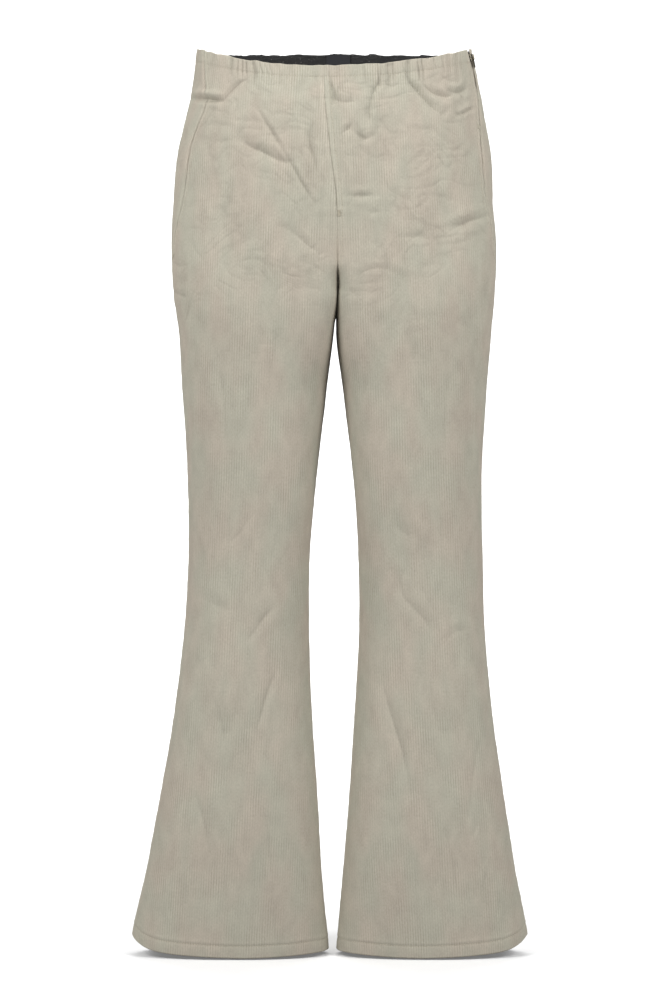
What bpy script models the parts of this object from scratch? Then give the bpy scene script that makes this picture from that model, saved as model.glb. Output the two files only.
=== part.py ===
"""Flared corduroy trousers, filled out as when worn, standing open at the waist and at both hems.

Two front and two back panels run from waist to hem. An elastic band is faced inside the waist, and a metal zip
closes the wearer's left side. Metres, +Z up. The fronts face -Y, and the wearer's left is +X. The origin is the
middle of the waist's opening, level with the top of the side seams.
"""

import math

import bmesh
import bpy
import numpy as np
from mathutils import Matrix

MM = 0.001

# Driving dimensions
LENGTH = 1042 * MM  # waist to hem, straight down
CLOTH = 1.5 * MM  # one layer of corduroy
HEM_DEPTH = 18 * MM  # turned up inside
HEM_LAYER = 1.3 * MM  # what the turned-up layer adds to the wall
SEAM_GAP = 0.3 * MM
RISE = 282 * MM  # waist to the crotch point
CURVE_HEIGHT = 50 * MM  # the centre seams turn under over this height
WAIST_DIP = 29 * MM  # the front waist's middle lies this far below the sides
WAIST_PEAK = 8 * MM  # and the back waist's middle this far above them
TORSO_SQUARE = 2.3  # 2 is an ellipse, and more is squarer
LEG_SQUARE = 2.15
HEM_RISE = 7 * MM  # the hem climbs this far towards the side seam and the inseam
HEM_CORNER = 14 * MM  # and this much more at the corner of the flare
HEM_LOWEST = 0.15  # its lowest place, inwards of the leg's middle, as a share of half its width

# The form at each distance down from the waist, in millimetres. The wearer's right is negative. "out" is where
# the side of the leg lies, "in" its inner side, and above the crotch both inner sides are the centre front seam.
# "front" and "back" are how far the cloth stands forward and back of the side seams' plane.
FORM_COLUMNS = ("down", "right_out", "right_in", "left_in", "left_out", "back_seam", "front", "back")
FORM = (
    (0, -159, -12, -12, 158, 0, 86, 84),
    (40, -165, -12, -12, 166, 0, 91, 91),
    (80, -173, -10, -10, 173, 0, 95, 99),
    (127, -182, -5, -5, 180, 0, 97, 108),
    (173, -186, 1, 1, 182, 1, 97, 115),
    (231, -189, 3, 3, 186, 2, 94, 117),
    (282, -186, 2.6, 3.4, 184, 3, 90, 107),
    (323, -180, -0.2, 1.6, 180, 1, 85, 95),
    (393, -176, -10, 10, 174, 0, 75, 82),
    (485, -170, -21, 21, 169, 0, 65, 71),
    (578, -169, -29, 27, 170, 0, 56, 61),
    (670, -174, -30, 28, 173, 0, 52, 56),
    (762, -185, -27, 23, 181, 0, 52, 56),
    (855, -200, -21, 17, 194, 0, 53, 56),
    (947, -217, -16, 10, 208, 0, 54, 57),
    (1042, -234, -7, 2, 222, 0, 55, 57),
)

# How far round the side seams roll towards the front, as a share of the quarter turn from side to centre
SEAM_COLUMNS = ("down", "right", "left")
SEAM_ROLL = (
    (0, 0.24, 0.15),
    (30, 0.30, 0.14),
    (69, 0.37, 0.18),
    (108, 0.30, 0.23),
    (172, 0.25, 0.22),
    (230, 0.12, 0.12),
    (323, 0.02, 0.02),
    (400, 0, 0),
    (1042, 0, 0),
)

# The largest folds, as soft troughs from one end to the other, in millimetres as seen from the front
FOLD_COLUMNS = ("face", "x1", "z1", "x2", "z2", "width", "depth")
FOLDS = (
    ("front", -178, -56, -126, -64, 9, 5.0),
    ("front", -126, -64, -105, -48, 10, 3.0),
    ("front", -89, -71, -25, -179, 11, 2.6),
    ("front", -105, -110, -56, -141, 13, 2.2),
    ("front", -70, -211, -19, -242, 12, 3.0),
    ("front", 74, -29, 124, -84, 11, 3.2),
    ("front", 140, -81, 166, -72, 9, 3.0),
    ("front", 10, -177, 48, -177, 10, 1.8),
    ("front", 131, -215, 178, -196, 11, 2.6),
    ("front", 33, -261, 89, -273, 11, 2.6),
    ("front", -75, -646, -98, -678, 13, 3.0),
    ("front", -70, -716, -89, -783, 12, 2.2),
    ("front", 76, -612, 108, -662, 13, 2.8),
    ("front", 54, -726, 87, -852, 15, 2.6),
    ("back", -172, -58, -128, -62, 11, 3.6),
    ("back", 96, -40, 132, -92, 12, 2.8),
    ("back", -118, -238, -36, -268, 14, 3.4),
    ("back", 38, -264, 122, -232, 14, 3.4),
    ("back", -52, -300, -92, -336, 14, 2.6),
    ("back", 56, -306, 98, -346, 14, 2.6),
    ("back", -132, -598, -84, -622, 14, 3.0),
    ("back", 82, -618, 134, -590, 14, 3.0),
    ("back", -84, -700, -112, -790, 14, 2.2),
    ("back", 90, -716, 108, -812, 14, 2.2),
)

# Zip, in the wearer's left side seam
ZIP_END = 89 * MM  # down from the waist
ZIP_MOUTH = 10 * MM  # between the folded edges of the cloth at the slider
ZIP_SLOT = 5 * MM  # between them below the slider
TAPE_TOP = 10 * MM
TAPE_BOTTOM = 100 * MM
TAPE_WIDTH = 12 * MM
TAPE = 1.0 * MM  # thickness
SLIDER_WIDTH = 7 * MM
SLIDER_LENGTH = 9 * MM
SLIDER_PLATE = 1.1 * MM
SLIDER_EDGE = 0.35 * MM  # bevel
POST_WIDTH = 2.6 * MM
POST_LENGTH = 2.2 * MM
POST_FROM_END = 0.5 * MM
SLIDER_SLOT = 2.7 * MM  # between the plates, where the teeth run
BRIDGE_WIDTH = 2.0 * MM
BRIDGE_LENGTH = 6.4 * MM
BRIDGE_HEIGHT = 2.9 * MM
BRIDGE_BAR = 1.1 * MM  # thickness of the bridge's legs and top
BRIDGE_EDGE = 0.4 * MM  # bevel
PULL_WIDTH = 5.6 * MM
PULL_LENGTH = 12.5 * MM  # from the hinge to the tip
PULL_THICKNESS = 0.9 * MM
PULL_EYE_WIDTH = 3.0 * MM
PULL_EYE_LENGTH = 4.4 * MM
PULL_TAPER = 0.6 * MM  # the tip is this much narrower on each side
TIP_STEPS = 8

# Elastic band and label, inside the waist
BAND_HEIGHT = 30 * MM
BAND = 1.8 * MM  # thickness
BAND_ABOVE_BACK = 0.8 * MM  # its edge shows above the back panels
BAND_BELOW_FRONT = 2.5 * MM  # and is hidden behind the front panels
BAND_CLEAR_OF_ZIP = 13 * MM
LABEL_WIDTH = 28 * MM
LABEL_HEIGHT = 16 * MM
LABEL = 1.0 * MM
LABEL_BELOW_EDGE = 2 * MM
LABEL_MIDDLE = 4 * MM  # from the centre back towards the wearer's left

# Fineness of the walls
ROW_STRETCHES = ((0, 120, 12), (120, 228, 8), (228, 284, 8), (284, 330, 3), (330, 1024, 17), (1024, 1042, 1))
PANEL_COLUMNS = 13
DENSE = 241  # points that measure a length round the cloth

SIDES = {"right": -1, "left": 1}


def ease(low, high, value):
    """0 below low, 1 above high, and a smooth S between them."""
    t = np.clip((value - low) / (high - low), 0, 1)
    return t * t * (3 - 2 * t)


def read_table(rows, columns, column, down):
    """A column's value at a distance down, on a smooth curve through the table's rows."""
    place = columns.index(column)
    at = np.array([row[0] for row in rows]) * MM
    values = np.array([row[place] for row in rows], float)
    slopes = np.gradient(values, at)
    down = np.clip(down, at[0], at[-1])
    k = np.clip(np.searchsorted(at, down, side="right") - 1, 0, len(at) - 2)
    span = at[k + 1] - at[k]
    t = (down - at[k]) / span
    start = (1 + 2 * t) * (1 - t) ** 2 * values[k] + t * (1 - t) ** 2 * span * slopes[k]
    end = t * t * (3 - 2 * t) * values[k + 1] - t * t * (1 - t) * span * slopes[k + 1]
    return start + end


def form(column, down):
    return read_table(FORM, FORM_COLUMNS, column, down) * MM


def oval(angle, outer, middle, front, back, square):
    """X and Y on a rounded oval, at an angle from its outer side that is positive towards the front."""
    c, s = np.cos(angle), np.sin(angle)
    x = middle + (outer - middle) * np.sign(c) * np.abs(c) ** (2 / square)
    y = -np.where(s > 0, front, back) * np.sign(s) * np.abs(s) ** (2 / square)
    return x, y


def leg_share(turn, down):
    """0 where the cloth goes round the body and 1 where it goes round one leg. At the centre seams the change
    is short, which turns them under to the crotch point. Towards the sides it is longer."""
    start = RISE - CURVE_HEIGHT - 80 * MM * (1 - np.abs(turn))
    end = RISE + 100 * MM * np.clip(1 - np.abs(turn), 0, 1)
    t = np.clip((down - start) / (end - start), 0, 1)
    return 1 - (1 - t * t) ** 1.2


def trough(x, z, fold):
    """Depth of one fold at a place seen from the front or back: a bell across it, deepest in the middle of its
    length and a little under half as deep at its ends, past which it fades out."""
    along_x, away_x = x / MM - fold["x1"], fold["x2"] - fold["x1"]
    along_z, away_z = z / MM - fold["z1"], fold["z2"] - fold["z1"]
    length = math.hypot(away_x, away_z)
    t = (along_x * away_x + along_z * away_z) / length**2
    across = (along_x * away_z - along_z * away_x) / length / fold["width"]
    past_end = length * (np.clip(-t, 0, None) + np.clip(t - 1, 0, None)) / fold["width"]
    deepest = 0.45 + 0.55 * np.sin(math.pi * np.clip(t, 0, 1))
    return fold["depth"] * MM * deepest * np.exp(-(across**2) - past_end**2)


def plain_form(side, turn, down):
    """The trousers' form without folds. turn is 0 at the side, 1 at the centre front or the front of the inseam,
    and -1 at the centre back or the back of the inseam."""
    outer = form(side + "_out", down)
    inner = form(side + "_in", down)
    front, back = form("front", down), form("back", down)
    centre = np.where(turn > 0, inner, form("back_seam", down))
    body_x, body_y = oval(turn * math.pi / 2, outer, centre, front, back, TORSO_SQUARE)
    leg_x, leg_y = oval(turn * math.pi, outer, (outer + inner) / 2, front, back, LEG_SQUARE)
    share = leg_share(turn, down)
    x = body_x + share * (leg_x - body_x)
    y = body_y + share * (leg_y - body_y)
    waist = np.where(y < 0, -WAIST_DIP * (y / front) ** 2, WAIST_PEAK * (y / back) ** 2)
    across = (x - (outer + inner) / 2) / (outer - inner) * 2  # 1 at the leg's outer side, -1 at its inner side
    from_lowest = np.abs((across + HEM_LOWEST) / (1 + HEM_LOWEST))
    hem = HEM_RISE * from_lowest**1.5 + HEM_CORNER * np.clip(across, 0, 1) ** 8
    z = -down + waist * (1 - ease(0, 95 * MM, down)) + hem * ease(LENGTH - 110 * MM, LENGTH, down)
    return x, y, z


def surface(side, turn, down, inward=0.0):
    """Points on the cloth's outer face, or inward of it."""
    point = np.stack(plain_form(side, turn, down), -1)
    normal = outward(side, turn, down)
    depth = np.zeros(np.broadcast(turn, down).shape)
    for row in FOLDS:
        fold = dict(zip(FOLD_COLUMNS, row))
        facing = -point[..., 1] if fold["face"] == "front" else point[..., 1]
        depth = depth + trough(point[..., 0], point[..., 2], fold) * ease(-8 * MM, 22 * MM, facing)
    depth = depth * ease(BAND_HEIGHT, BAND_HEIGHT + 22 * MM, down)
    return point - normal * (depth + inward)[..., None]


def outward(side, turn, down):
    """Unit vectors that point out of the cloth."""
    step_turn, step_down = 0.004, 0.5 * MM
    low, high = np.clip(down - step_down, 0, LENGTH), np.clip(down + step_down, 0, LENGTH)
    round_it = np.stack(plain_form(side, turn + step_turn, down), -1) - np.stack(
        plain_form(side, turn - step_turn, down), -1
    )
    down_it = np.stack(plain_form(side, turn, high), -1) - np.stack(plain_form(side, turn, low), -1)
    normal = np.cross(round_it, down_it) * SIDES[side]
    return normal / np.linalg.norm(normal, axis=-1, keepdims=True)


def seam_turn(side, down):
    return read_table(SEAM_ROLL, SEAM_COLUMNS, side, down)


def zip_gap(side, down):
    """Between the front and back panels at the side: a seam's gap, or the zip's."""
    if side == "right":
        return np.full_like(down, SEAM_GAP)
    slot = ZIP_SLOT + (ZIP_MOUTH - ZIP_SLOT) * (1 - ease(24 * MM, 36 * MM, down))
    return SEAM_GAP + (slot - SEAM_GAP) * (1 - ease(ZIP_END - 25 * MM, ZIP_END, down))


def turns_at(side, down, start, distances):
    """The turns that lie at the given distances round the cloth from a start turn, at one distance down."""
    turns = np.linspace(-1.02, 1.02, 2 * DENSE)
    points = np.stack(plain_form(side, turns, np.full_like(turns, down)), -1)
    walked = np.concatenate([[0], np.cumsum(np.linalg.norm(np.diff(points, axis=0), axis=1))])
    return np.interp(np.interp(start, turns, walked) + distances, walked, turns)


def distance_between(side, down, start, end):
    turns = np.linspace(start, end, DENSE)
    points = np.stack(plain_form(side, turns, np.full_like(turns, down)), -1)
    return np.linalg.norm(np.diff(points, axis=0), axis=1).sum()


def new_object(name, mesh, finish, matrix=None):
    obj = bpy.data.objects.new(name, mesh)
    obj.data.materials.append(finish)
    if matrix is not None:
        obj.matrix_world = matrix
    return obj


def wall_mesh(name, outer, inner):
    """A closed wall between two grids of points, lofted row by row."""
    rows, columns = outer.shape[:2]
    points = np.concatenate([outer.reshape(-1, 3), inner.reshape(-1, 3)])
    index = np.arange(rows * columns).reshape(rows, columns)
    behind = index + rows * columns
    quads = []
    for grid in (index, behind):
        quads.append(np.stack([grid[:-1, :-1], grid[:-1, 1:], grid[1:, 1:], grid[1:, :-1]], -1).reshape(-1, 4))
    for edge, back in (
        (index[0], behind[0]),
        (index[-1], behind[-1]),
        (index[:, 0], behind[:, 0]),
        (index[:, -1], behind[:, -1]),
    ):
        quads.append(np.stack([edge[:-1], edge[1:], back[1:], back[:-1]], -1))
    mesh = bpy.data.meshes.new(name)
    mesh.from_pydata(points.tolist(), [], np.concatenate(quads).tolist())
    shape = bmesh.new()
    shape.from_mesh(mesh)
    bmesh.ops.recalc_face_normals(shape, faces=shape.faces)
    shape.to_mesh(mesh)
    shape.free()
    mesh.shade_smooth()
    mesh.set_sharp_from_angle(angle=math.radians(50))
    return mesh


def finish(name, colour, roughness, metallic=0.0):
    material = bpy.data.materials.new(name)
    material.use_nodes = True
    shader = material.node_tree.nodes["Principled BSDF"]
    shader.inputs["Base Color"].default_value = (*colour, 1)
    shader.inputs["Roughness"].default_value = roughness
    shader.inputs["Metallic"].default_value = metallic
    return material


def panel_grid(side, face):
    """A panel's outer points with their outward directions, rows from waist to hem and columns from the side seam
    to the centre seam or inseam."""
    stretches = [np.linspace(high, low, rows, endpoint=False) for high, low, rows in ROW_STRETCHES]
    downs = np.append(np.concatenate(stretches) * MM, LENGTH)
    sign = 1 if face == "front" else -1
    turns = np.empty((len(downs), PANEL_COLUMNS))
    for row, down in enumerate(downs):
        start = float(seam_turn(side, down))
        near = float(zip_gap(side, np.array(down))) / 2
        far = distance_between(side, down, start, sign) - SEAM_GAP / 2
        turns[row] = turns_at(side, down, start, sign * np.linspace(near, far, PANEL_COLUMNS))
    downs = np.repeat(downs[:, None], PANEL_COLUMNS, 1)
    return np.concatenate([surface(side, turns, downs), outward(side, turns, downs)], -1), downs


def moved_in(grid, inward):
    """The grid's points moved into the garment along their outward directions."""
    return grid[..., :3] - grid[..., 3:] * np.asarray(inward)[..., None]


def beside(grid, distance, edge=0):
    """The column that lies at a distance from a grid's edge column, on the straight line to its neighbour."""
    near, far = grid[:, edge], grid[:, 1 if edge == 0 else edge - 1]
    span = np.linalg.norm(far[:, :3] - near[:, :3], axis=1)
    return near + (far - near) * (distance / span)[:, None]


def panel(name, grid, downs, cloth):
    """One leg panel: the cloth's wall, doubled by the hem that is turned up inside it."""
    thickness = CLOTH + HEM_LAYER * ease(LENGTH - HEM_DEPTH - 6 * MM, LENGTH - HEM_DEPTH + 6 * MM, downs)
    return new_object(name, wall_mesh(name, moved_in(grid, 0 * downs), moved_in(grid, thickness)), cloth)


def waistband(grids, downs, elastic):
    """The elastic band inside the waist, open at the zip. It follows the panels' own points."""
    rows = slice(0, int(np.searchsorted(downs, BAND_HEIGHT + MM)))
    front_left, back_left = grids["front_left"][rows], grids["back_left"][rows]
    from_edge = BAND_CLEAR_OF_ZIP - zip_gap("left", downs[rows]) / 2
    ring = np.concatenate(
        [
            beside(front_left, from_edge)[:, None],
            front_left[:, 1:],
            grids["front_right"][rows][:, -2::-1],
            grids["back_right"][rows][:, 1:],
            back_left[:, -2:0:-1],
            beside(back_left, from_edge)[:, None],
        ],
        1,
    )
    backness = ease(-30 * MM, 30 * MM, ring[0, :, 1])
    rise = BAND_ABOVE_BACK * backness - BAND_BELOW_FRONT * (1 - backness)
    upward = ring[0] - ring[1]
    ring[0] += upward * (rise / np.linalg.norm(upward[:, :3], axis=1))[:, None]
    outer = moved_in(ring, np.full(ring.shape[:2], CLOTH + SEAM_GAP))
    inner = moved_in(ring, np.full(ring.shape[:2], CLOTH + SEAM_GAP + BAND))
    return new_object("waistband", wall_mesh("waistband", outer, inner), elastic)


def row_at(grid, downs, down):
    """The row that lies at a distance down, on the straight lines between the grid's rows."""
    k = int(np.searchsorted(downs, down, side="right")) - 1
    return grid[k] + (grid[k + 1] - grid[k]) * (down - downs[k]) / (downs[k + 1] - downs[k])


def back_label(grids, downs, woven):
    """A small plain label, sewn flat on the band at the centre back."""
    rows = slice(0, 3)
    right, left = grids["back_right"][rows], grids["back_left"][rows]
    to_right = np.full(3, LABEL_WIDTH / 2 - LABEL_MIDDLE)
    to_left = np.full(3, LABEL_WIDTH / 2 + LABEL_MIDDLE)
    across = np.stack([beside(right, to_right, -1), right[:, -1], left[:, -1], beside(left, to_left, -1)], 1)
    bottom = LABEL_BELOW_EDGE + LABEL_HEIGHT
    strip = np.stack([row_at(across, downs, LABEL_BELOW_EDGE), across[1], row_at(across, downs, bottom)])
    depth = CLOTH + 2 * SEAM_GAP + BAND
    outer = moved_in(strip, np.full(strip.shape[:2], depth))
    inner = moved_in(strip, np.full(strip.shape[:2], depth + LABEL))
    return new_object("back_label", wall_mesh("back_label", outer, inner), woven)


def zip_tape(name, grid, downs, tape):
    """One tape of the zip, behind the folded edge of its panel and flat against it."""
    rows = slice(int(np.searchsorted(downs, TAPE_TOP)), int(np.searchsorted(downs, TAPE_BOTTOM + MM)))
    edge = zip_gap("left", downs[rows]) / 2
    strip = np.stack([beside(grid[rows], SEAM_GAP / 2 - edge), beside(grid[rows], TAPE_WIDTH - edge)], 1)
    outer = moved_in(strip, np.full(strip.shape[:2], CLOTH + SEAM_GAP))
    inner = moved_in(strip, np.full(strip.shape[:2], CLOTH + SEAM_GAP + TAPE))
    return new_object(name, wall_mesh(name, outer, inner), tape)


def zip_frame(grids, downs):
    """A matrix at the slider's place: X across the zip, Y up along it and Z out of the cloth, with its origin
    midway between the tapes and midway through them."""
    near = slice(1, 3)
    edge = zip_gap("left", downs[near]) / 2
    line = (beside(grids["front_left"][near], -edge) + beside(grids["back_left"][near], -edge)) / 2
    points = moved_in(line, np.full(2, CLOTH + SEAM_GAP + TAPE / 2))
    up = points[0] - points[1]
    up = up / np.linalg.norm(up)
    out = line[0, 3:] - up * np.dot(line[0, 3:], up)
    out = out / np.linalg.norm(out)
    across = np.cross(up, out)
    matrix = Matrix.Identity(4)
    for row in range(3):
        matrix[row][0], matrix[row][1], matrix[row][2] = across[row], up[row], out[row]
        matrix[row][3] = points[0][row]
    return matrix


def box(name, size, centre, frame, bevel=0.0):
    """A box of the given size, placed in the zip's frame, with its edges rounded by a Bevel."""
    shape = bmesh.new()
    bmesh.ops.create_cube(shape, size=1, matrix=Matrix.Diagonal((*size, 1)))
    mesh = bpy.data.meshes.new(name)
    shape.to_mesh(mesh)
    shape.free()
    obj = bpy.data.objects.new(name, mesh)
    obj.matrix_world = frame @ Matrix.Translation(centre)
    if bevel:
        rounding = obj.modifiers.new("Rounding", "BEVEL")
        rounding.width = bevel
        rounding.segments = 1
    return obj


def cut(obj, other, operation):
    boolean = obj.modifiers.new(operation.title() + " " + other.name, "BOOLEAN")
    boolean.operation = operation
    boolean.object = other
    boolean.solver = "EXACT"


def zip_slider(frame, metal, helpers):
    """The slider: two plates that a post joins above the teeth, and a bridge that holds the pull."""
    top_of_slot = SLIDER_SLOT / 2
    plate_size = (SLIDER_WIDTH, SLIDER_LENGTH, SLIDER_PLATE)
    face = top_of_slot + SLIDER_PLATE
    plate_middle = top_of_slot + SLIDER_PLATE / 2
    slider = box("zip_slider", plate_size, (0, 0, plate_middle), frame, SLIDER_EDGE)
    lower = box("slider_lower_plate", plate_size, (0, 0, -plate_middle), frame, SLIDER_EDGE)
    post_place = (0, SLIDER_LENGTH / 2 - POST_FROM_END - POST_LENGTH / 2, 0)
    post = box("slider_post", (POST_WIDTH, POST_LENGTH, SLIDER_SLOT + SLIDER_PLATE), post_place, frame)
    bridge_size = (BRIDGE_WIDTH, BRIDGE_LENGTH, BRIDGE_HEIGHT + SLIDER_PLATE / 2)
    bridge_place = (0, 0, plate_middle + bridge_size[2] / 2)
    bridge = box("slider_bridge", bridge_size, bridge_place, frame, BRIDGE_EDGE)
    eye_size = (2 * BRIDGE_WIDTH, BRIDGE_LENGTH - 2 * BRIDGE_BAR, BRIDGE_HEIGHT - BRIDGE_BAR)
    eye = box("slider_bridge_eye", eye_size, (0, 0, face + eye_size[2] / 2), frame)
    for other in (lower, post, bridge):
        cut(slider, other, "UNION")
    cut(slider, eye, "DIFFERENCE")
    slider.data.materials.append(metal)
    for helper in (lower, post, bridge, eye):
        helper.hide_render = True
        helper.display_type = "WIRE"
        helpers.objects.link(helper)
    return slider


def pull_outline(curve, points):
    spline = curve.splines.new("POLY")
    spline.points.add(len(points) - 1)
    for place, (x, y) in zip(spline.points, points):
        place.co = (x, y, 0, 1)
    spline.use_cyclic_u = True


def zip_pull(frame, metal):
    """The pull tab: a flat plate with an eye at its top, which turns on the slider's bridge. Its origin is on
    the hinge's axis, in the middle of the bar above the eye."""
    bar = PULL_THICKNESS / 2
    half, tip_radius = PULL_WIDTH / 2, PULL_WIDTH / 2 - PULL_TAPER
    outline = [(-half, bar), (half, bar)]
    for step in range(TIP_STEPS + 1):
        angle = -math.pi * step / TIP_STEPS
        outline.append((tip_radius * math.cos(angle), -PULL_LENGTH + tip_radius + tip_radius * math.sin(angle)))
    eye_half, eye_bottom = PULL_EYE_WIDTH / 2, -bar - PULL_EYE_LENGTH
    curve = bpy.data.curves.new("zip_pull", "CURVE")
    curve.dimensions = "2D"
    curve.fill_mode = "BOTH"
    curve.extrude = PULL_THICKNESS / 2
    pull_outline(curve, outline)
    pull_outline(curve, [(-eye_half, -bar), (-eye_half, eye_bottom), (eye_half, eye_bottom), (eye_half, -bar)])
    face = SLIDER_SLOT / 2 + SLIDER_PLATE
    hinge = (0, 0, face + (BRIDGE_HEIGHT - BRIDGE_BAR) / 2)
    pull = bpy.data.objects.new("zip_pull", curve)
    pull.data.materials.append(metal)
    pull.matrix_world = frame @ Matrix.Translation(hinge)
    return pull


def clear_scene():
    for obj in list(bpy.data.objects):
        bpy.data.objects.remove(obj, do_unlink=True)


def build():
    clear_scene()
    garment = bpy.data.collections.new("corduroy_trousers")
    helpers = bpy.data.collections.new("cutters")
    bpy.context.scene.collection.children.link(garment)
    bpy.context.scene.collection.children.link(helpers)
    corduroy = finish("stone corduroy", (0.49, 0.46, 0.38), 0.9)
    elastic = finish("black elastic", (0.025, 0.025, 0.028), 0.85)
    woven = finish("black woven label", (0.03, 0.03, 0.032), 0.6)
    tape = finish("stone zip tape", (0.45, 0.43, 0.36), 0.85)
    brass = finish("antique brass", (0.24, 0.19, 0.12), 0.4, 1.0)
    grids = {}
    pieces = []
    for face in ("front", "back"):
        for side in SIDES:
            name = face + "_" + side
            grids[name], downs = panel_grid(side, face)
            pieces.append(panel(name, grids[name], downs, corduroy))
    downs = downs[:, 0]
    pieces.append(waistband(grids, downs, elastic))
    pieces.append(back_label(grids, downs, woven))
    pieces.append(zip_tape("zip_tape_front", grids["front_left"], downs, tape))
    pieces.append(zip_tape("zip_tape_back", grids["back_left"], downs, tape))
    frame = zip_frame(grids, downs)
    pieces.append(zip_slider(frame, brass, helpers))
    pieces.append(zip_pull(frame, brass))
    for piece in pieces:
        garment.objects.link(piece)


build()
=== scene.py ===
"""Corduroy trousers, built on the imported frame: fine cloth with its folds, seams and stitching, the zip, the
elastic and its label, then the floor, the light and the camera. Metres, +Z up, the fronts face -Y."""

import math
from types import SimpleNamespace

import bpy
import numpy as np
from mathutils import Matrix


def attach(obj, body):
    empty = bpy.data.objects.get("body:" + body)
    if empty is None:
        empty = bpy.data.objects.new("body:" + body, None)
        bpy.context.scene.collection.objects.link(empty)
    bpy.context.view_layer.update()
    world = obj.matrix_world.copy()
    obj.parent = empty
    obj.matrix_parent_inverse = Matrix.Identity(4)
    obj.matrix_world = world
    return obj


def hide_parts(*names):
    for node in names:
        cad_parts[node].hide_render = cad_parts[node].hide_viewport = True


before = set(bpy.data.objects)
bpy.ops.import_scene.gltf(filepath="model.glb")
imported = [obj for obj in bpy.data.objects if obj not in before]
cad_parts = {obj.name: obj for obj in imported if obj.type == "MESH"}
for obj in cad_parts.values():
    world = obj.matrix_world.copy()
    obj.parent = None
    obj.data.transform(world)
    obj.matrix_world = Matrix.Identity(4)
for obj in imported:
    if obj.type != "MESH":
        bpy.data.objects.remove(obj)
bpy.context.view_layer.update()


# ---------------------------------------------------------------------------------------------------------------
# Leg panels. Two fronts and two backs of cotton corduroy, cut with the ribs running from waist to hem and joined
# at the sides, the centre seams and the inseams. Each hem is turned up inside and stitched down. The trousers
# stand filled out as worn, so each panel is a thin wall on its solid's form, flatter between the thighs.

MM = 0.001
LENGTH = 1042 * MM  # waist to hem, straight down
CLOTH = 1.5 * MM  # one layer of corduroy
HEM_DEPTH = 18 * MM  # turned up inside
HEM_LAYER = 1.3 * MM  # what the turned-up layer adds to the wall
RISE = 282 * MM  # waist to the crotch point
CURVE_HEIGHT = 30 * MM  # the centre seams turn under over this height
CURVE_SHORT = 0.48  # above it, a half leg's line stops this share short of its whole way round
BODY_UNTIL = 150 * MM  # down to here the form is the body's oval
LEG_FROM = 262 * MM  # and from here down the leg's, at the centre seams
LEG_LATER = 120 * MM  # this much further down at the side seams
BACK_SEAM_ENDS = (190 * MM, 240 * MM)  # between these the back seam goes over to the legs' inner sides
WAIST_DIP = 29 * MM  # the front waist's middle lies this far below the sides
WAIST_PEAK = 6 * MM  # and the back waist's middle this far above them
WAIST_FADES = 95 * MM  # both are gone this far down
HEM_RISE = 7 * MM  # the hem climbs this far towards the side seam and the inseam
HEM_CORNER = 14 * MM  # and this much more at the corner of the flare
HEM_LOWEST = 0.15  # its lowest place, inwards of the leg's middle, as a share of half its width
HEM_BEGINS = 110 * MM  # the climb begins this far above the hem
OVAL_SQUARE = 2.3  # how square the body and the legs are: 2 is an ellipse, and more is squarer
INSIDE_SQUARE = 2.4  # and the insides of the legs, low down
# What is added to that higher up: it fades between the first distance down and the second (mm)
INSIDE_SQUARER = ((400, 720, 1.0), (285, 400, 4.6), (250, 330, 8))
HAND = {"right": -1, "left": 1}  # the wearer's left is at +X

# The form at each distance down from the waist, in millimetres. "out" is where the side of the leg lies, "in" its
# inner side, and above the crotch both inner sides are the centre front seam. "front" and "back" are how far the
# cloth stands forward and back of the side seams' plane.
FORM_COLUMNS = ("down", "right_out", "right_in", "left_in", "left_out", "back_seam", "front", "back")
FORM = (
    (0, -159, -12, -12, 158, 0, 86, 84),
    (40, -165, -12, -12, 166, 0, 91, 91),
    (80, -173, -10, -10, 173, 0, 95, 99),
    (127, -182, -5, -5, 180, 0, 97, 108),
    (173, -186, 1, 1, 182, 1, 97, 115),
    (231, -189, 2.8, 3.2, 186, 2, 94, 117),
    (282, -186, 2.6, 3.4, 184, 3, 90, 107),
    (323, -180, -0.9, 2.3, 180, 1, 85, 95),
    (393, -176, -10, 10, 174, 0, 75, 82),
    (485, -170, -21, 21, 169, 0, 65, 71),
    (578, -169, -29, 27, 170, 0, 56, 61),
    (670, -174, -30, 28, 173, 0, 52, 56),
    (762, -185, -27, 23, 181, 0, 52, 56),
    (855, -200, -21, 17, 194, 0, 53, 56),
    (947, -217, -16, 10, 208, 0, 54, 57),
    (1042, -234, -7, 2, 222, 0, 55, 57),
)
# How far round the side seams roll towards the front, as a share of the quarter turn from side to centre
SEAM_COLUMNS = ("down", "right", "left")
SEAM_ROLL = (
    (0, 0.24, 0.15),
    (30, 0.30, 0.14),
    (69, 0.37, 0.18),
    (108, 0.30, 0.23),
    (172, 0.25, 0.22),
    (230, 0.12, 0.12),
    (323, 0.02, 0.02),
    (400, 0, 0),
    (1042, 0, 0),
)
# Where the ribs run straight: how far the grain line lies from the middle at each distance down
GRAIN = ((0, 80), (173, 86), (393, 93), (485, 95.5), (578, 99), (762, 106), (1042, 120))


def ease(low, high, value):
    """0 below low, 1 above high, and a smooth S between them."""
    t = np.clip((value - low) / (high - low), 0, 1)
    return t * t * (3 - 2 * t)


def bell(value, middle, width):
    """1 at the middle, falling off on both sides over the width."""
    return np.exp(-(((value - middle) / width) ** 2))


def smooth_line(first, last, rise_first, rise_last, t):
    """Between two values as t goes from 0 to 1: the cubic that has the given rises per unit of t at both ends."""
    first_part = (1 + 2 * t) * (1 - t) ** 2 * first + t * (1 - t) ** 2 * rise_first
    return first_part + t * t * (3 - 2 * t) * last - t * t * (1 - t) * rise_last


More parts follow.
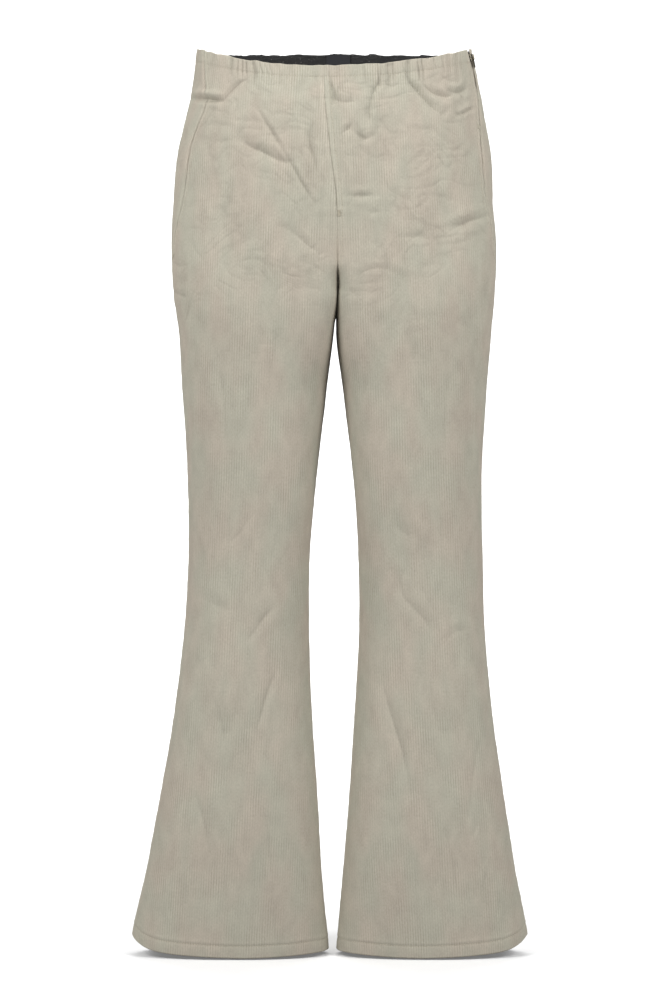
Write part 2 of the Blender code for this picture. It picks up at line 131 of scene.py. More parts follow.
def read_table(rows, columns, column, down):
    """A column's value at a distance down, on a smooth curve through the table's rows."""
    at = np.array([row[0] for row in rows]) * MM
    values = np.array([row[columns.index(column)] for row in rows], float)
    slopes = np.gradient(values, at)
    down = np.clip(down, at[0], at[-1])
    k = np.clip(np.searchsorted(at, down, side="right") - 1, 0, len(at) - 2)
    span = at[k + 1] - at[k]
    return smooth_line(values[k], values[k + 1], span * slopes[k], span * slopes[k + 1], (down - at[k]) / span)


def oval(angle, outer, middle, front, back):
    """X and Y on a rounded oval, at an angle from its outer side that is positive towards the front."""
    c, s = np.cos(angle), np.sin(angle)
    x = middle + (outer - middle) * np.sign(c) * np.abs(c) ** (2 / OVAL_SQUARE)
    y = -np.where(s > 0, front, back) * np.sign(s) * np.abs(s) ** (2 / OVAL_SQUARE)
    return x, y


def leg_half(v, end, middle, inner, depth, square):
    """X and Y on the inner half of a leg, from its front (or back) middle at v = 0 towards the inseam. A point runs
    out along a square and is drawn in to a rounded one. The half stops at v = 1, the share "end" of the way round."""
    x, y = np.minimum(2 * v * end, 1), np.minimum(2 - 2 * v * end, 1)
    x_end, y_end = np.minimum(2 * end, 1), np.minimum(2 - 2 * end, 1)
    size = (x**square + np.abs(y) ** square) ** (1 / square)
    size_end = (x_end**square + y_end**square) ** (1 / square)
    return middle - (middle - inner) * (x / size) / (x_end / size_end), depth * y / size


def plain_form(side, turn, down, seam_down=None):
    """The form without folds: an oval round the body that turns into an oval round one leg. turn is 0 at the
    side, 1 at the centre front or the front of the inseam, and -1 at the centre back or the back of the inseam.
    The insides of the thighs lie flat against each other, and the centre seams curve back between them.
    seam_down is where that curve is read, if not at down, so that a step down the cloth keeps to one line on it."""
    columns = {name: read_table(FORM, FORM_COLUMNS, name, down) * MM for name in FORM_COLUMNS[1:]}
    outer, inner = columns[side + "_out"], columns[side + "_in"]
    front, back, back_seam = columns["front"], columns["back"], columns["back_seam"]
    centre = np.where(turn > 0, inner, back_seam + (inner - back_seam) * ease(*BACK_SEAM_ENDS, down))
    body_x, body_y = oval(turn * math.pi / 2, outer, centre, front, back)
    middle = (outer + inner) / 2
    leg_x, leg_y = oval(np.clip(turn, -0.5, 0.5) * math.pi, outer, middle, front, back)

    # The inner half of the leg, where its sides lie flat against each other
    curve = np.clip(((down if seam_down is None else seam_down) - RISE) / CURVE_HEIGHT + 1, 0, 1)
    end = 1 - CURVE_SHORT * (1 - curve**2) ** 1.2
    square = INSIDE_SQUARE
    for low, high, more in INSIDE_SQUARER:
        square = square + more * (1 - ease(low * MM, high * MM, down))
    v, depth = np.clip(2 * np.abs(turn) - 1, 0, None), np.where(turn > 0, -front, back)
    half_x, half_y = leg_half(v, end, middle, centre, depth, square)
    leg_x, leg_y = np.where(np.abs(turn) > 0.5, half_x, leg_x), np.where(np.abs(turn) > 0.5, half_y, leg_y)

    share = ease(BODY_UNTIL, LEG_FROM + LEG_LATER * np.clip(1 - np.abs(turn), 0, 1), down)
    x, y = body_x + share * (leg_x - body_x), body_y + share * (leg_y - body_y)
    waist = np.where(y < 0, -WAIST_DIP * (y / front) ** 2, WAIST_PEAK * (y / back) ** 4)
    across = (x - middle) / (outer - inner) * 2
    climb = np.abs((across + HEM_LOWEST) / (1 + HEM_LOWEST)) ** 1.5
    hem = HEM_RISE * climb + HEM_CORNER * np.clip(across, 0, 1) ** 8
    z = -down + waist * (1 - ease(0, WAIST_FADES, down)) + hem * ease(LENGTH - HEM_BEGINS, LENGTH, down)
    return np.stack([x, y, z], -1)


def outward(side, turn, down):
    """Unit vectors out of the plain form: the cross product of a step round it and a step down it."""
    low, high = np.clip(down - 0.5 * MM, 0, LENGTH), np.clip(down + 0.5 * MM, 0, LENGTH)
    round_it = plain_form(side, turn + 0.004, down) - plain_form(side, turn - 0.004, down)
    down_it = plain_form(side, turn, high, down) - plain_form(side, turn, low, down)
    normal = np.cross(round_it, down_it) * HAND[side]
    return normal / np.linalg.norm(normal, axis=-1, keepdims=True)


# Rows and columns of a panel, closest where it is rounded, sunk or stitched
NEAR_EDGE = np.array([0, 0.15, 0.45, 0.9, 1.5, 2.2, 3, 3.9, 4.8, 5.4, 6, 6.6, 7.3, 8.4, 10.2, 12.6]) * MM
NEAR_WAIST = np.array(
    [0, 0.15, 0.45, 0.9, 1.6, 2.6, 4, 5.6, 7.4, 9.4, 11.2, 12.6, 13.7, 14.4, 15, 15.6, 16.3, 17.4, 19, 21.5]
)
NEAR_HEM = np.array(
    [22, 19.8, 18.4, 17.2, 16, 15.2, 14.5, 14, 13.5, 12.8, 11.8, 10.4, 8.8, 7.2, 5.6, 4.2, 3, 2, 1.2, 0.6, 0.2, 0]
)
UPPER, LOWER = np.linspace(23, 300, 170), np.linspace(303, 1017.5, 236)
DOWNS = np.concatenate([NEAR_WAIST * MM, UPPER * MM, LOWER * MM, LENGTH - NEAR_HEM * MM])
MIDDLE_COLUMNS = 149

# The rows of topstitching: how far they lie from the waist, the hem and a seam, and where those beside the side
# seams and the centre front seam end
WAIST_LINE, HEM_LINE, SEAM_LINE = 15 * MM, 14 * MM, 6 * MM
SIDE_STITCHED, FRONT_STITCHED = 240 * MM, 266 * MM


def uneven(u, v, seed):
    """Soft unevenness from -1 to 1: random values at whole steps of u and v, joined by smooth curves."""
    size = 257
    table = np.random.default_rng(seed).uniform(-1, 1, (size, size))
    iu, iv = np.floor(u).astype(int), np.floor(v).astype(int)
    fu, fv = u - iu, v - iv
    fu, fv = fu * fu * (3 - 2 * fu), fv * fv * (3 - 2 * fv)
    a, b, c, d = (table[(iu + i) % size, (iv + j) % size] for i, j in ((0, 0), (1, 0), (0, 1), (1, 1)))
    return (a * (1 - fu) + b * fu) * (1 - fv) + (c * (1 - fu) + d * fu) * fv


# Folds on each face: path as seen from the front or back (mm), width (mm), depth (mm), and how far the cloth stands
# up on the left and on the right of the path, as shares of the depth
FOLDS = {
    "front": (
        (((-126, -67.5), (-140, -65.5), (-153, -62), (-167, -58.5)), 4, 5.0, 0.15, 0.65),
        (((-127, -67), (-120.5, -60), (-114, -53.5), (-108, -48), (-101, -44)), 3.8, 2.6, 0.4, 0.1),
        (((-137, -75), (-145, -87), (-152, -95)), 3.2, 1.3, 0.4, 0.3),
        (((-135, -90), (-128, -95), (-113, -97)), 6, 1.4, 0.4, 0.3),
        (((-108, -90), (-100, -89), (-91, -89)), 4, 0.8, 0.3, 0.3),
        (((-87, -79), (-82, -88), (-74, -101), (-66, -114), (-57, -128)), 3.0, 1.9, 0.5, 0.25),
        (((-58, -127), (-51, -139), (-44, -151), (-37, -164), (-29, -177), (-22, -186)), 2.8, 1.8, 0.5, 0.25),
        (((-107, -113), (-94, -122), (-82, -127), (-70, -134), (-56, -140), (-48, -138)), 7, 2.8, 0.4, 0.3),
        (((-112, -125), (-100, -132), (-89, -137)), 6, 0.9, 0.3, 0.3),
        (((-9, -33), (-6, -42), (-4, -52), (-2, -62), (-1, -74)), 2.4, 3.6, 0.7, 0.4),
        (((-27, -101), (-29, -115), (-25, -133), (-21, -146)), 4, 2.2, 0.4, 0.3),
        (((-19, -51), (-20, -70), (-18, -90)), 5, 0.9, 0.3, 0.3),
        (((-4, -66), (7, -71), (21, -71)), 6, 2.4, 0.3, 0.2),
        (((8, -107), (14, -103), (19, -97)), 4, 2.2, 0.4, 0.3),
        (((24, -106), (33, -113), (44, -109)), 4.2, 2.2, 0.4, 0.3),
        (((51, -24), (52, -33), (49, -49), (43, -61), (39, -78), (39, -94)), 4, 2.5, 0.45, 0.3),
        (((62, -26), (64, -37), (59, -46)), 3.5, 1.1, 0.4, 0.3),
        (((56, -47), (64, -53), (72, -49)), 4.5, 1.5, 0.35, 0.3),
        (((75, -24), (79, -35), (86, -48), (95, -58), (102, -66), (111, -75), (122, -83)), 5.2, 3.6, 0.55, 0.25),
        (((101, -51), (111, -58), (120, -61), (128, -62), (133, -59)), 4.4, 2.8, 0.5, 0.3),
        (((128, -54), (137, -56), (145, -54), (152, -48)), 4.2, 2.6, 0.5, 0.3),
        (((143, -56), (148, -65)), 3.2, 1.6, 0.4, 0.3),
        (((118, -36), (126, -41), (133, -43), (143, -42)), 5, 1.5, 0.4, 0.2),
        (((144, -81), (151, -77), (159, -72)), 2.6, 2.2, 0.5, 0.35),
        (((137, -80), (145, -83)), 2.8, 1.8, 0.4, 0.35),
        (((119, -88), (128, -92), (136, -90)), 7, 1.0, 0.3, 0.2),
        (((90, -105), (103, -101), (116, -95)), 6, 1.0, 0.3, 0.3),
        (((91, -133), (102, -131), (112, -131)), 5, 0.8, 0.3, 0.3),
        (((12, -177), (28, -178), (47, -176)), 4.6, 2.0, 0.4, 0.3),
        (((37, -196), (45, -196), (55, -194)), 4.2, 1.3, 0.3, 0.3),
        (((55, -157), (62, -170), (73, -177), (86, -182)), 5, 1.3, 0.35, 0.3),
        (((71, -223), (86, -223), (103, -221)), 6, 1.5, 0.35, 0.3),
        (((129, -216), (143, -208), (158, -201), (178, -194)), 6, 2.4, 0.45, 0.3),
        (((24, -270), (32, -263), (44, -259), (58, -259), (72, -266), (84, -274)), 4.6, 1.3, 0.4, 0.2),
        (((10, -291), (19, -286), (30, -283), (44, -285)), 5, 0.6, 0.3, 0.2),
        (((-66, -211), (-54, -214), (-40, -224), (-28, -235), (-14, -243)), 5, 1.5, 0.4, 0.2),
        (((-46, -252), (-34, -252), (-22, -257), (-9, -266)), 6, 0.7, 0.3, 0.2),
        (((-42, -282), (-31, -281), (-17, -284), (-6, -290)), 5, 0.5, 0.3, 0.2),
        (((-185, -281), (-177, -285), (-169, -289)), 4, 1.6, 0.4, 0.3),
        (((-162, -287), (-167, -305), (-173, -322)), 4.4, 1.4, 0.35, 0.3),
        (((-188, -246), (-175, -253), (-163, -251)), 5, 1.1, 0.3, 0.3),
        (((-72, -643), (-81, -653), (-91, -667), (-100, -680)), 6, 1.9, 0.45, 0.25),
        (((-147, -632), (-133, -641), (-117, -644)), 7, 1.3, 0.35, 0.25),
        (((-68, -716), (-74, -730), (-80, -747), (-85, -766), (-90, -785)), 5, 1.9, 0.4, 0.3),
        (((-138, -748), (-129, -775), (-124, -805)), 8, 1.1, 0.35, 0.3),
        (((73, -605), (75, -620), (80, -633), (91, -644), (101, -655), (110, -667)), 6, 1.8, 0.45, 0.25),
        (((126, -679), (138, -670), (152, -666)), 6, 1.3, 0.3, 0.25),
        (((53, -724), (58, -745), (65, -768), (72, -791), (79, -814), (87, -855)), 8, 2.3, 0.4, 0.35),
        (((165, -795), (161, -813), (158, -834), (153, -876)), 4, 1.1, 0.4, 0.3),
        (((163, -888), (159, -897), (154, -907)), 4, 0.9, 0.3, 0.3),
        (((177, -935), (173, -947), (169, -961)), 4, 0.9, 0.3, 0.3),
        (((-159, -853), (-149, -887), (-142, -925)), 11, 1.3, 0.4, 0.35),
        (((-83, -862), (-76, -905), (-72, -953)), 11, 1.1, 0.4, 0.35),
        (((124, -891), (133, -927), (138, -964)), 11, 1.2, 0.4, 0.35),
        (((-135, -352), (-126, -402), (-124, -452)), 12, 1.2, 0.35, 0.3),
        (((128, -375), (124, -425), (126, -483)), 12, 1.2, 0.35, 0.3),
        (((-67, -339), (-74, -375), (-71, -418)), 10, 1.1, 0.35, 0.3),
        (((-101, -543), (-110, -558), (-124, -570)), 8, 1.2, 0.35, 0.25),
        (((65, -543), (78, -556), (97, -563)), 8, 1.1, 0.35, 0.25),
    ),
    "back": (
        (((-174, -52), (-158, -60), (-140, -63), (-122, -56)), 6, 3.4, 0.45, 0.2),
        (((94, -38), (108, -52), (120, -70), (134, -92)), 6, 2.8, 0.45, 0.25),
        (((-60, -34), (-66, -58), (-62, -84)), 5, 1.4, 0.35, 0.3),
        (((46, -30), (42, -54), (48, -78)), 5, 1.3, 0.35, 0.3),
        (((-20, -46), (-8, -58), (2, -76)), 5, 1.2, 0.3, 0.3),
        (((-120, -236), (-92, -252), (-62, -262), (-34, -268)), 7, 3.2, 0.45, 0.25),
        (((36, -266), (64, -258), (94, -246), (124, -230)), 7, 3.2, 0.45, 0.25),
        (((-104, -266), (-80, -280), (-48, -288)), 6, 2.0, 0.4, 0.25),
        (((44, -290), (78, -284), (108, -268)), 6, 2.0, 0.4, 0.25),
        (((-50, -300), (-70, -318), (-94, -338)), 7, 2.4, 0.4, 0.3),
        (((54, -306), (74, -326), (100, -346)), 7, 2.4, 0.4, 0.3),
        (((-134, -596), (-110, -608), (-82, -622)), 7, 2.8, 0.45, 0.25),
        (((80, -620), (106, -606), (136, -590)), 7, 2.8, 0.45, 0.25),
        (((-120, -640), (-98, -648), (-74, -646)), 6, 1.6, 0.35, 0.3),
        (((70, -652), (94, -650), (122, -634)), 6, 1.6, 0.35, 0.3),
        (((-84, -698), (-96, -736), (-112, -792)), 8, 2.1, 0.4, 0.35),
        (((90, -714), (98, -756), (108, -814)), 8, 2.1, 0.4, 0.35),
        (((-150, -150), (-128, -166), (-112, -190)), 8, 1.3, 0.3, 0.3),
        (((148, -140), (132, -164), (120, -184)), 8, 1.2, 0.3, 0.3),
        (((-146, -860), (-152, -900), (-160, -946)), 11, 1.2, 0.4, 0.35),
        (((112, -880), (122, -920), (128, -962)), 11, 1.2, 0.4, 0.35),
    ),
}
CREASE, TROUGH = 0.68, 0.32  # the shares of a fold's depth that its crease and its trough have


def fold_path(points):
    """A fold's path as short straight steps: where each starts, how far it goes in X and Z, and its length. They
    follow a smooth line through the fold's points, six to each span."""
    line = np.array(points, float)
    at = np.linspace(0, len(line) - 1, 6 * (len(line) - 1) + 1)
    k = np.clip(at.astype(int), 0, len(line) - 2)
    slope = np.gradient(line, axis=0)
    fine = smooth_line(line[k], line[k + 1], slope[k], slope[k + 1], (at - k)[:, None])
    away = np.diff(fine, axis=0)
    return fine[:-1], away, np.hypot(*away.T)


def fold_lift(point):
    """How far the folds move the cloth outwards, and the painted shade along their creases. Across a fold it is a sharp
    crease in a soft trough, steeper on its right, with a low ridge on each side. Along it the depth swells and fades,
    on a smooth line through its points. Its gain keeps a deep fold nearly as deep as given, and takes a shallow one
    down to six tenths. The painted shade is a thin dark line on the crease, stronger for a deep fold."""
    lift, crease_shade = np.zeros(point.shape[:-1]), np.zeros(point.shape[:-1])
    x, z = point[..., 0] / MM, point[..., 2] / MM
    folds = [(face, *fold) for face in FOLDS for fold in FOLDS[face]]
    for number, (face, path, width, depth, left, right) in enumerate(folds):
        facing = ease(-8, 22, (-1 if face == "front" else 1) * point[..., 1] / MM)
        line = np.array(path, float)
        reach = np.ptp(line, axis=0) / 2 + 5 * width
        near = (np.abs(x - line[:, 0].mean()) < reach[0]) & (np.abs(z - line[:, 1].mean()) < reach[1])
        if not near.any():
            continue

        # The nearest place on the path, how far along it that is, and the distance from it, positive on the right
        start, away, length = fold_path(path)
        to_x, to_z = x[near][:, None] - start[:, 0], z[near][:, None] - start[:, 1]
        along = np.clip((to_x * away[:, 0] + to_z * away[:, 1]) / length**2, 0, 1)
        gap = np.hypot(to_x - along * away[:, 0], to_z - along * away[:, 1])
        nearest = gap.argmin(1)
        pick = np.arange(len(nearest)), nearest
        hand = np.sign((to_x * away[:, 1] - to_z * away[:, 0])[pick])
        before = np.concatenate([[0], np.cumsum(length)[:-1]])[nearest]
        walked = (before + along[pick] * length[nearest]) / length.sum()
        s = hand * gap[pick] / width

        crease = np.exp(-((np.where(s > 0, 3.2, 2.0) * np.abs(s)) ** 1.4))
        ridges = left * bell(s, -1.6, 0.9) + right * bell(s, 1.75, 1.0)
        profile = -CREASE * crease - TROUGH * np.exp(-(s**2)) + ridges
        swell = 0.22 + 0.78 * np.sin(math.pi * np.clip(walked, 0, 1)).clip(0) ** 0.8
        swell = swell * (1 + 0.16 * np.sin(7 * walked + 1.7 * number))
        gain = 1.2 * (0.5 + 0.5 * ease(1, 3.2, depth)) / (1 + depth / 16)
        lift[near] += gain * depth * MM * swell * profile * facing[near]
        # Painted shade: a thin dark line along the crease, thinner on its steep side and stronger where the fold is
        # deep
        mark = np.exp(-((np.abs(s) * width / np.where(s > 0, 0.8, 1.3)) ** 1.5))
        crease_shade[near] += min(depth / 2.4, 1.3) * swell * mark * facing[near]
    return lift, crease_shade


# Wrinkles: how deep they are, and of each layer the angle to the ribs, length and spacing (mm), strength and seed
WRINKLE = 0.48 * MM
WRINKLES = ((0.12, 26, 8, 1.0, 100), (-0.7, 24, 9, 0.9, 110), (0.8, 22, 9, 0.8, 120), (1.45, 30, 10, 0.5, 130))


def wrinkles(across, down, turned, long, short, seed):
    """Short shallow creases that lie at an angle to the ribs: smooth random values on a turned, stretched grid,
    sharpened where they cross zero, and gone again in patches."""
    c, s = math.cos(turned), math.sin(turned)
    u, v = (across * c + down * s) / long, (down * c - across * s) / short
    bend = uneven(across / (40 * MM), down / (30 * MM), seed + 1)
    crease = -np.exp(-((uneven(u + 7, v + 0.9 * bend + 3, seed) / 0.22) ** 2))
    return crease * ease(-0.15, 0.75, uneven(across / (34 * MM) + 2, down / (26 * MM), seed + 2))


SLOW, QUICK, SMALL = 1.6 * MM, 0.75 * MM, 0.16 * MM  # how far the cloth's slow, quicker and small unevenness goes
SEAM_HALF = 0.1 * MM  # from a seam's line to the cloth's edge
ZIP_OPEN = {"front": 5.0 * MM, "back": 2.2 * MM}  # the folded edges stand back from the top of the zip


def panel_grid(side, face):
    """Where a panel's points lie on the plain form, and its outward directions there. A row at each of DOWNS runs
    from the side seam to the far seam, with even columns between those near its edges. across is the place on the
    flat cloth, from the grain line, and the other distances are from the side seam, the far seam and the hem."""
    start = read_table(SEAM_ROLL, SEAM_COLUMNS, side, DOWNS)
    share = np.linspace(0, 1, 420)
    turns = start[:, None] + ((1 if face == "front" else -1) - start)[:, None] * share
    dense = plain_form(side, turns, np.repeat(DOWNS[:, None], len(share), 1))
    step = np.linalg.norm(np.diff(dense, axis=1), axis=-1)
    walked = np.concatenate([np.zeros((len(DOWNS), 1)), np.cumsum(step, 1)], 1)
    near, far = SEAM_HALF + 0 * DOWNS, walked[:, -1]
    if side == "left":
        near = near + ZIP_OPEN[face] * (1 - ease(34 * MM, 52 * MM, DOWNS))
    middle = np.linspace(0, 1, MIDDLE_COLUMNS + 2)[1:-1]
    low, high = near + NEAR_EDGE[-1], far - NEAR_EDGE[-1]
    distance = np.concatenate(
        [near[:, None] + NEAR_EDGE, low[:, None] + (high - low)[:, None] * middle, far[:, None] - NEAR_EDGE[::-1]], 1
    )
    turn = np.stack([np.interp(d, w, t) for d, w, t in zip(distance, walked, turns)])
    down = np.repeat(DOWNS[:, None], distance.shape[1], 1)
    hand, grain = HAND[side], np.array(GRAIN) * MM
    grain_x = hand * np.interp(DOWNS, grain[:, 0], grain[:, 1])
    grain_at = np.array([np.interp(-hand * g, -hand * xs, w) for g, xs, w in zip(grain_x, dense[:, :, 0], walked)])
    return SimpleNamespace(
        plain=plain_form(side, turn, down), normal=outward(side, turn, down),
        across=distance - grain_at[:, None], down=down,
        from_side=distance - near[:, None], from_far=far[:, None] - distance, from_hem=LENGTH - down,
    )


def hanging_cloth(grid, number):
    """How far folds, slow unevenness and wrinkles lift the cloth, and the painted shade in its creases and wrinkles.
    They fade out at the waist, the seams and the hem, and there are fewer wrinkles down the legs."""
    across, down = grid.across, grid.down
    folds, crease_shade = fold_lift(grid.plain)
    lift = folds * ease(14 * MM, 40 * MM, down) * ease(2 * MM, 30 * MM, grid.from_hem)
    slow = uneven(across / (70 * MM) + 9, down / (150 * MM), 10 + number)
    quick = uneven(across / (24 * MM) + 5, down / (60 * MM), 20 + number)
    small = uneven(across / (9 * MM) + 5, down / (17 * MM), 30 + number)
    inland = ease(0, 18 * MM, grid.from_side) * ease(0, 18 * MM, grid.from_far)
    swell = SLOW * slow * ease(0, 60 * MM, down) + QUICK * quick + SMALL * small
    lift = lift + swell * (0.25 + 0.75 * inland)
    rumpled = (1 - 0.72 * ease(250 * MM, 420 * MM, down)) * inland * ease(14 * MM, 30 * MM, down)
    creases = rumpled * sum(
        strength * wrinkles(across, down, angle, long * MM, short * MM, seed + number)
        for angle, long, short, strength, seed in WRINKLES
    )
    # The wrinkles' troughs also add painted shade to the cloth's colour
    return lift + WRINKLE * creases, crease_shade - 0.32 * creases


GATHER = 1.4 * MM  # how deep the elastic's gathers are
GATHER_PITCH = 5.6 * MM  # the random values that place them are this far apart


def gathered_waist(grid, face, number):
    """How far the elastic and its topstitching lift the cloth at the waist, and the painted shade there. The gathers
    are short uprights, sharpened where random values cross zero, that end at uneven distances down. The topstitching
    sinks in between them. Painted shade darkens the gathers' valleys and the row of topstitching."""
    across, down = grid.across, grid.down
    sway = 0.5 * uneven(across / (30 * MM), down / (18 * MM), 45 + number)
    upright = uneven(across / GATHER_PITCH + 3 + sway, down / (90 * MM), 40 + number)
    gathers = -np.exp(-((upright / 0.3) ** 2)) + 0.35 * uneven(across / (9 * MM), down / (50 * MM), 50 + number)
    x = grid.plain[..., 0] / MM
    strength = 0.9 + 0 * x
    if face == "front":
        strength = 0.3 + 0.9 * bell(x, -98, 24) + 0.95 * bell(x, 76, 46)
    reach = (13 + 12 * uneven(across / (11 * MM) + 5, 0 * down, 55 + number)) * MM
    gathered = strength * (1 - ease(reach, reach + 24 * MM, down)) * ease(0, 10 * MM, grid.from_side)
    lift = GATHER * gathered * gathers * ease(0, 5 * MM, down) + 0.35 * MM * bell(down, 8 * MM, 5 * MM)
    lift = lift - (0.12 + 0.2 * strength) * MM * bell(down, WAIST_LINE, 1.3 * MM)
    # The second value is painted shade: dark in the gathers' valleys and along the topstitching
    return lift, 0.9 * gathered * np.exp(-((upright / 0.2) ** 2)) + 0.3 * bell(down, WAIST_LINE, 1.1 * MM)


SIDE_SUNK, FAR_SUNK, STITCH_SUNK = 0.6 * MM, 0.4 * MM, 0.42 * MM  # how deep the seams and the topstitching lie
TURNINGS = 0.3 * MM  # how far the turnings inside lift the cloth beside a seam
PUCKER, PUCKER_REACH = 0.34 * MM, 8 * MM  # how high the puckers are, and how far from the seam they fade


def sewn_edges(grid, side, face, number, far_depth):
    """How far the sewing lifts the cloth. At the seams the edges turn in, the turnings inside show as a low step,
    and the stitches draw up small puckers. Topstitching sinks in. The hem's two layers are puffed between the fold
    and the stitching, with a soft step where the turned-up edge ends. far_depth is how deep the far seam lies."""
    down, from_side, from_far, from_hem = grid.down, grid.from_side, grid.from_far, grid.from_hem
    left, front = side == "left", face == "front"
    legs = ease(RISE - 20 * MM, RISE + 10 * MM, down)
    side_puckers = uneven(down / (6.5 * MM), 0 * down, 60 + left)
    far_puckers = uneven(down / (6.5 * MM), 0 * down, 62 if front else 63) * (1 - legs)
    far_puckers = far_puckers + uneven(down / (7 * MM), 0 * down, 66 + left) * legs
    side_depth = 1 - 0.6 * left * (1 - ease(84 * MM, 96 * MM, down))  # less beside the zip
    lift = -SIDE_SUNK * side_depth * bell(from_side, 0, 1.6 * MM) - FAR_SUNK * far_depth * bell(from_far, 0, 1.4 * MM)
    lift = lift + TURNINGS * (bell(from_side, 4 * MM, 3 * MM) + bell(from_far, 4 * MM, 3 * MM))
    lift = lift + PUCKER * side_puckers * np.exp(-from_side / PUCKER_REACH)
    lift = lift + PUCKER * far_puckers * np.exp(-from_far / PUCKER_REACH)

    side_row = front * (1 - ease(SIDE_STITCHED - 2 * MM, SIDE_STITCHED + 4 * MM, down))
    front_row = (front and left) * (1 - ease(FRONT_STITCHED - 4 * MM, FRONT_STITCHED + 4 * MM, down))
    sunk = side_row * bell(from_side, SEAM_LINE, 0.9 * MM) + front_row * bell(from_far, SEAM_LINE, 0.9 * MM)

    twist = uneven((grid.across + 0.55 * down) / (8 * MM), 0 * down, 70 + number)
    hem = (0.25 + 0.22 * twist) * bell(from_hem, 7 * MM, 5 * MM) - 0.3 * bell(from_hem, HEM_LINE, 1.2 * MM)
    return lift - STITCH_SUNK * sunk + MM * (hem + 0.25 * bell(from_hem, 17.5 * MM, 2 * MM))


def rounded(edge, half):
    """How far each side of a wall is drawn in near its edge: a quarter circle whose radius is half the wall."""
    return half * (1 - np.sqrt(1 - np.clip(1 - edge / half, 0, 0.97) ** 2))


def panel_cloth(side, face):
    """A panel's outer and inner points, the wall's thickness, its place on the flat cloth, where it is a little lighter
    at its edges, and the painted shade in its creases. The outer points are the plain form's, moved outwards by the
    lift, and the inner ones lie a wall inside."""
    number = 1 + ("right_front", "left_front", "right_back", "left_back").index(side + "_" + face)
    grid = panel_grid(side, face)
    across, down, plain, from_far = grid.across, grid.down, grid.plain, grid.from_far
    far_depth = 1 - 0.75 * (1 - ease(35 * MM, 75 * MM, down)) * (face == "front")  # pressed flat below the waist
    # Besides the lift, these give the painted shade in the creases, wrinkles, gathers and topstitching
    hung, crease_shade = hanging_cloth(grid, number)
    gathered, gather_shade = gathered_waist(grid, face, number)
    lift = hung + gathered + sewn_edges(grid, side, face, number, far_depth)
    thickness = CLOTH + HEM_LAYER * ease(LENGTH - HEM_DEPTH - 6 * MM, LENGTH - HEM_DEPTH + 6 * MM, down)

    # Between the thighs the panels' edges meet face to face, so nothing lifts or rounds them there
    between = ease(185 * MM, 215 * MM, down) * (1 - ease(340 * MM, 380 * MM, down))
    lift = lift * (1 - between * bell(from_far, 0, 12 * MM))
    far_edge = 2.4 * from_far + 2 * MM * between + 0.5 * MM * (1 - far_depth)
    rounding = rounded(np.minimum(np.minimum(grid.from_side, far_edge), np.minimum(down, grid.from_hem)), thickness / 2)

    # The two halves meet on one line at the crotch. Just below it the thighs touch, on a line that bends inwards of
    # their fronts, so no light comes through between them.
    inner_x = {one: read_table(FORM, FORM_COLUMNS, one + "_in", down) * MM for one in HAND}
    meeting = (inner_x["right"] + inner_x["left"]) / 2 - inner_x[side]
    meeting = meeting * (1 - ease(290 * MM, 314 * MM, down)) * ease(175 * MM, 200 * MM, down)
    meeting = meeting * bell(plain[..., 0] - inner_x[side], 0, 14 * MM)
    bend = 4 * MM * bell(plain[..., 1], 12 * MM, 13 * MM) * (1 - ease(8 * MM, 34 * MM, np.abs(plain[..., 0])))
    bend = bend * ease(262 * MM, 285 * MM, down) * (1 - ease(294 * MM, 316 * MM, down))
    waver = 0.8 * MM * uneven(across / (9 * MM), 0 * down, 80 + number) * (1 - ease(0, 22 * MM, down))
    moved = plain + np.stack([bend + meeting, 0 * down, waver], -1)
    # A little lighter beside the seams, at the hem's fold and at the waist's edge
    lighter_edges = bell(grid.from_side, 3.2 * MM, 2 * MM) + bell(from_far, 3.2 * MM, 2 * MM)
    lighter_edges = lighter_edges + bell(grid.from_hem, 0.5 * MM, 2.5 * MM) + bell(down, 0, 2.2 * MM)
    return {
        "outer": moved + grid.normal * (lift - rounding)[..., None],
        "inner": moved + grid.normal * (lift - thickness + rounding)[..., None],
        "thickness": thickness,
        "flat": np.stack([across, -down], -1),
        "marks": {"lighter_edges": np.clip(lighter_edges, 0, 1), "crease_shade": np.clip(crease_shade + gather_shade, 0, 1.3)},
    }


def directions(grid):
    """Outward directions of a panel's grid: the cross product of its steps along columns and rows, turned to
    face away from the wall's inner points."""
    points = grid["outer"]
    normal = np.cross(np.gradient(points, axis=1), np.gradient(points, axis=0))
    normal = normal / np.maximum(np.linalg.norm(normal, axis=-1, keepdims=True), 1e-12)
    away = points - grid["inner"]
    return normal * np.sign((normal * away).sum(-1).mean())


def placed(name, data):
    """Puts a mesh, light or camera in the scene as an object of its own."""
    made = bpy.data.objects.new(name, data)
    bpy.context.scene.collection.objects.link(made)
    return made


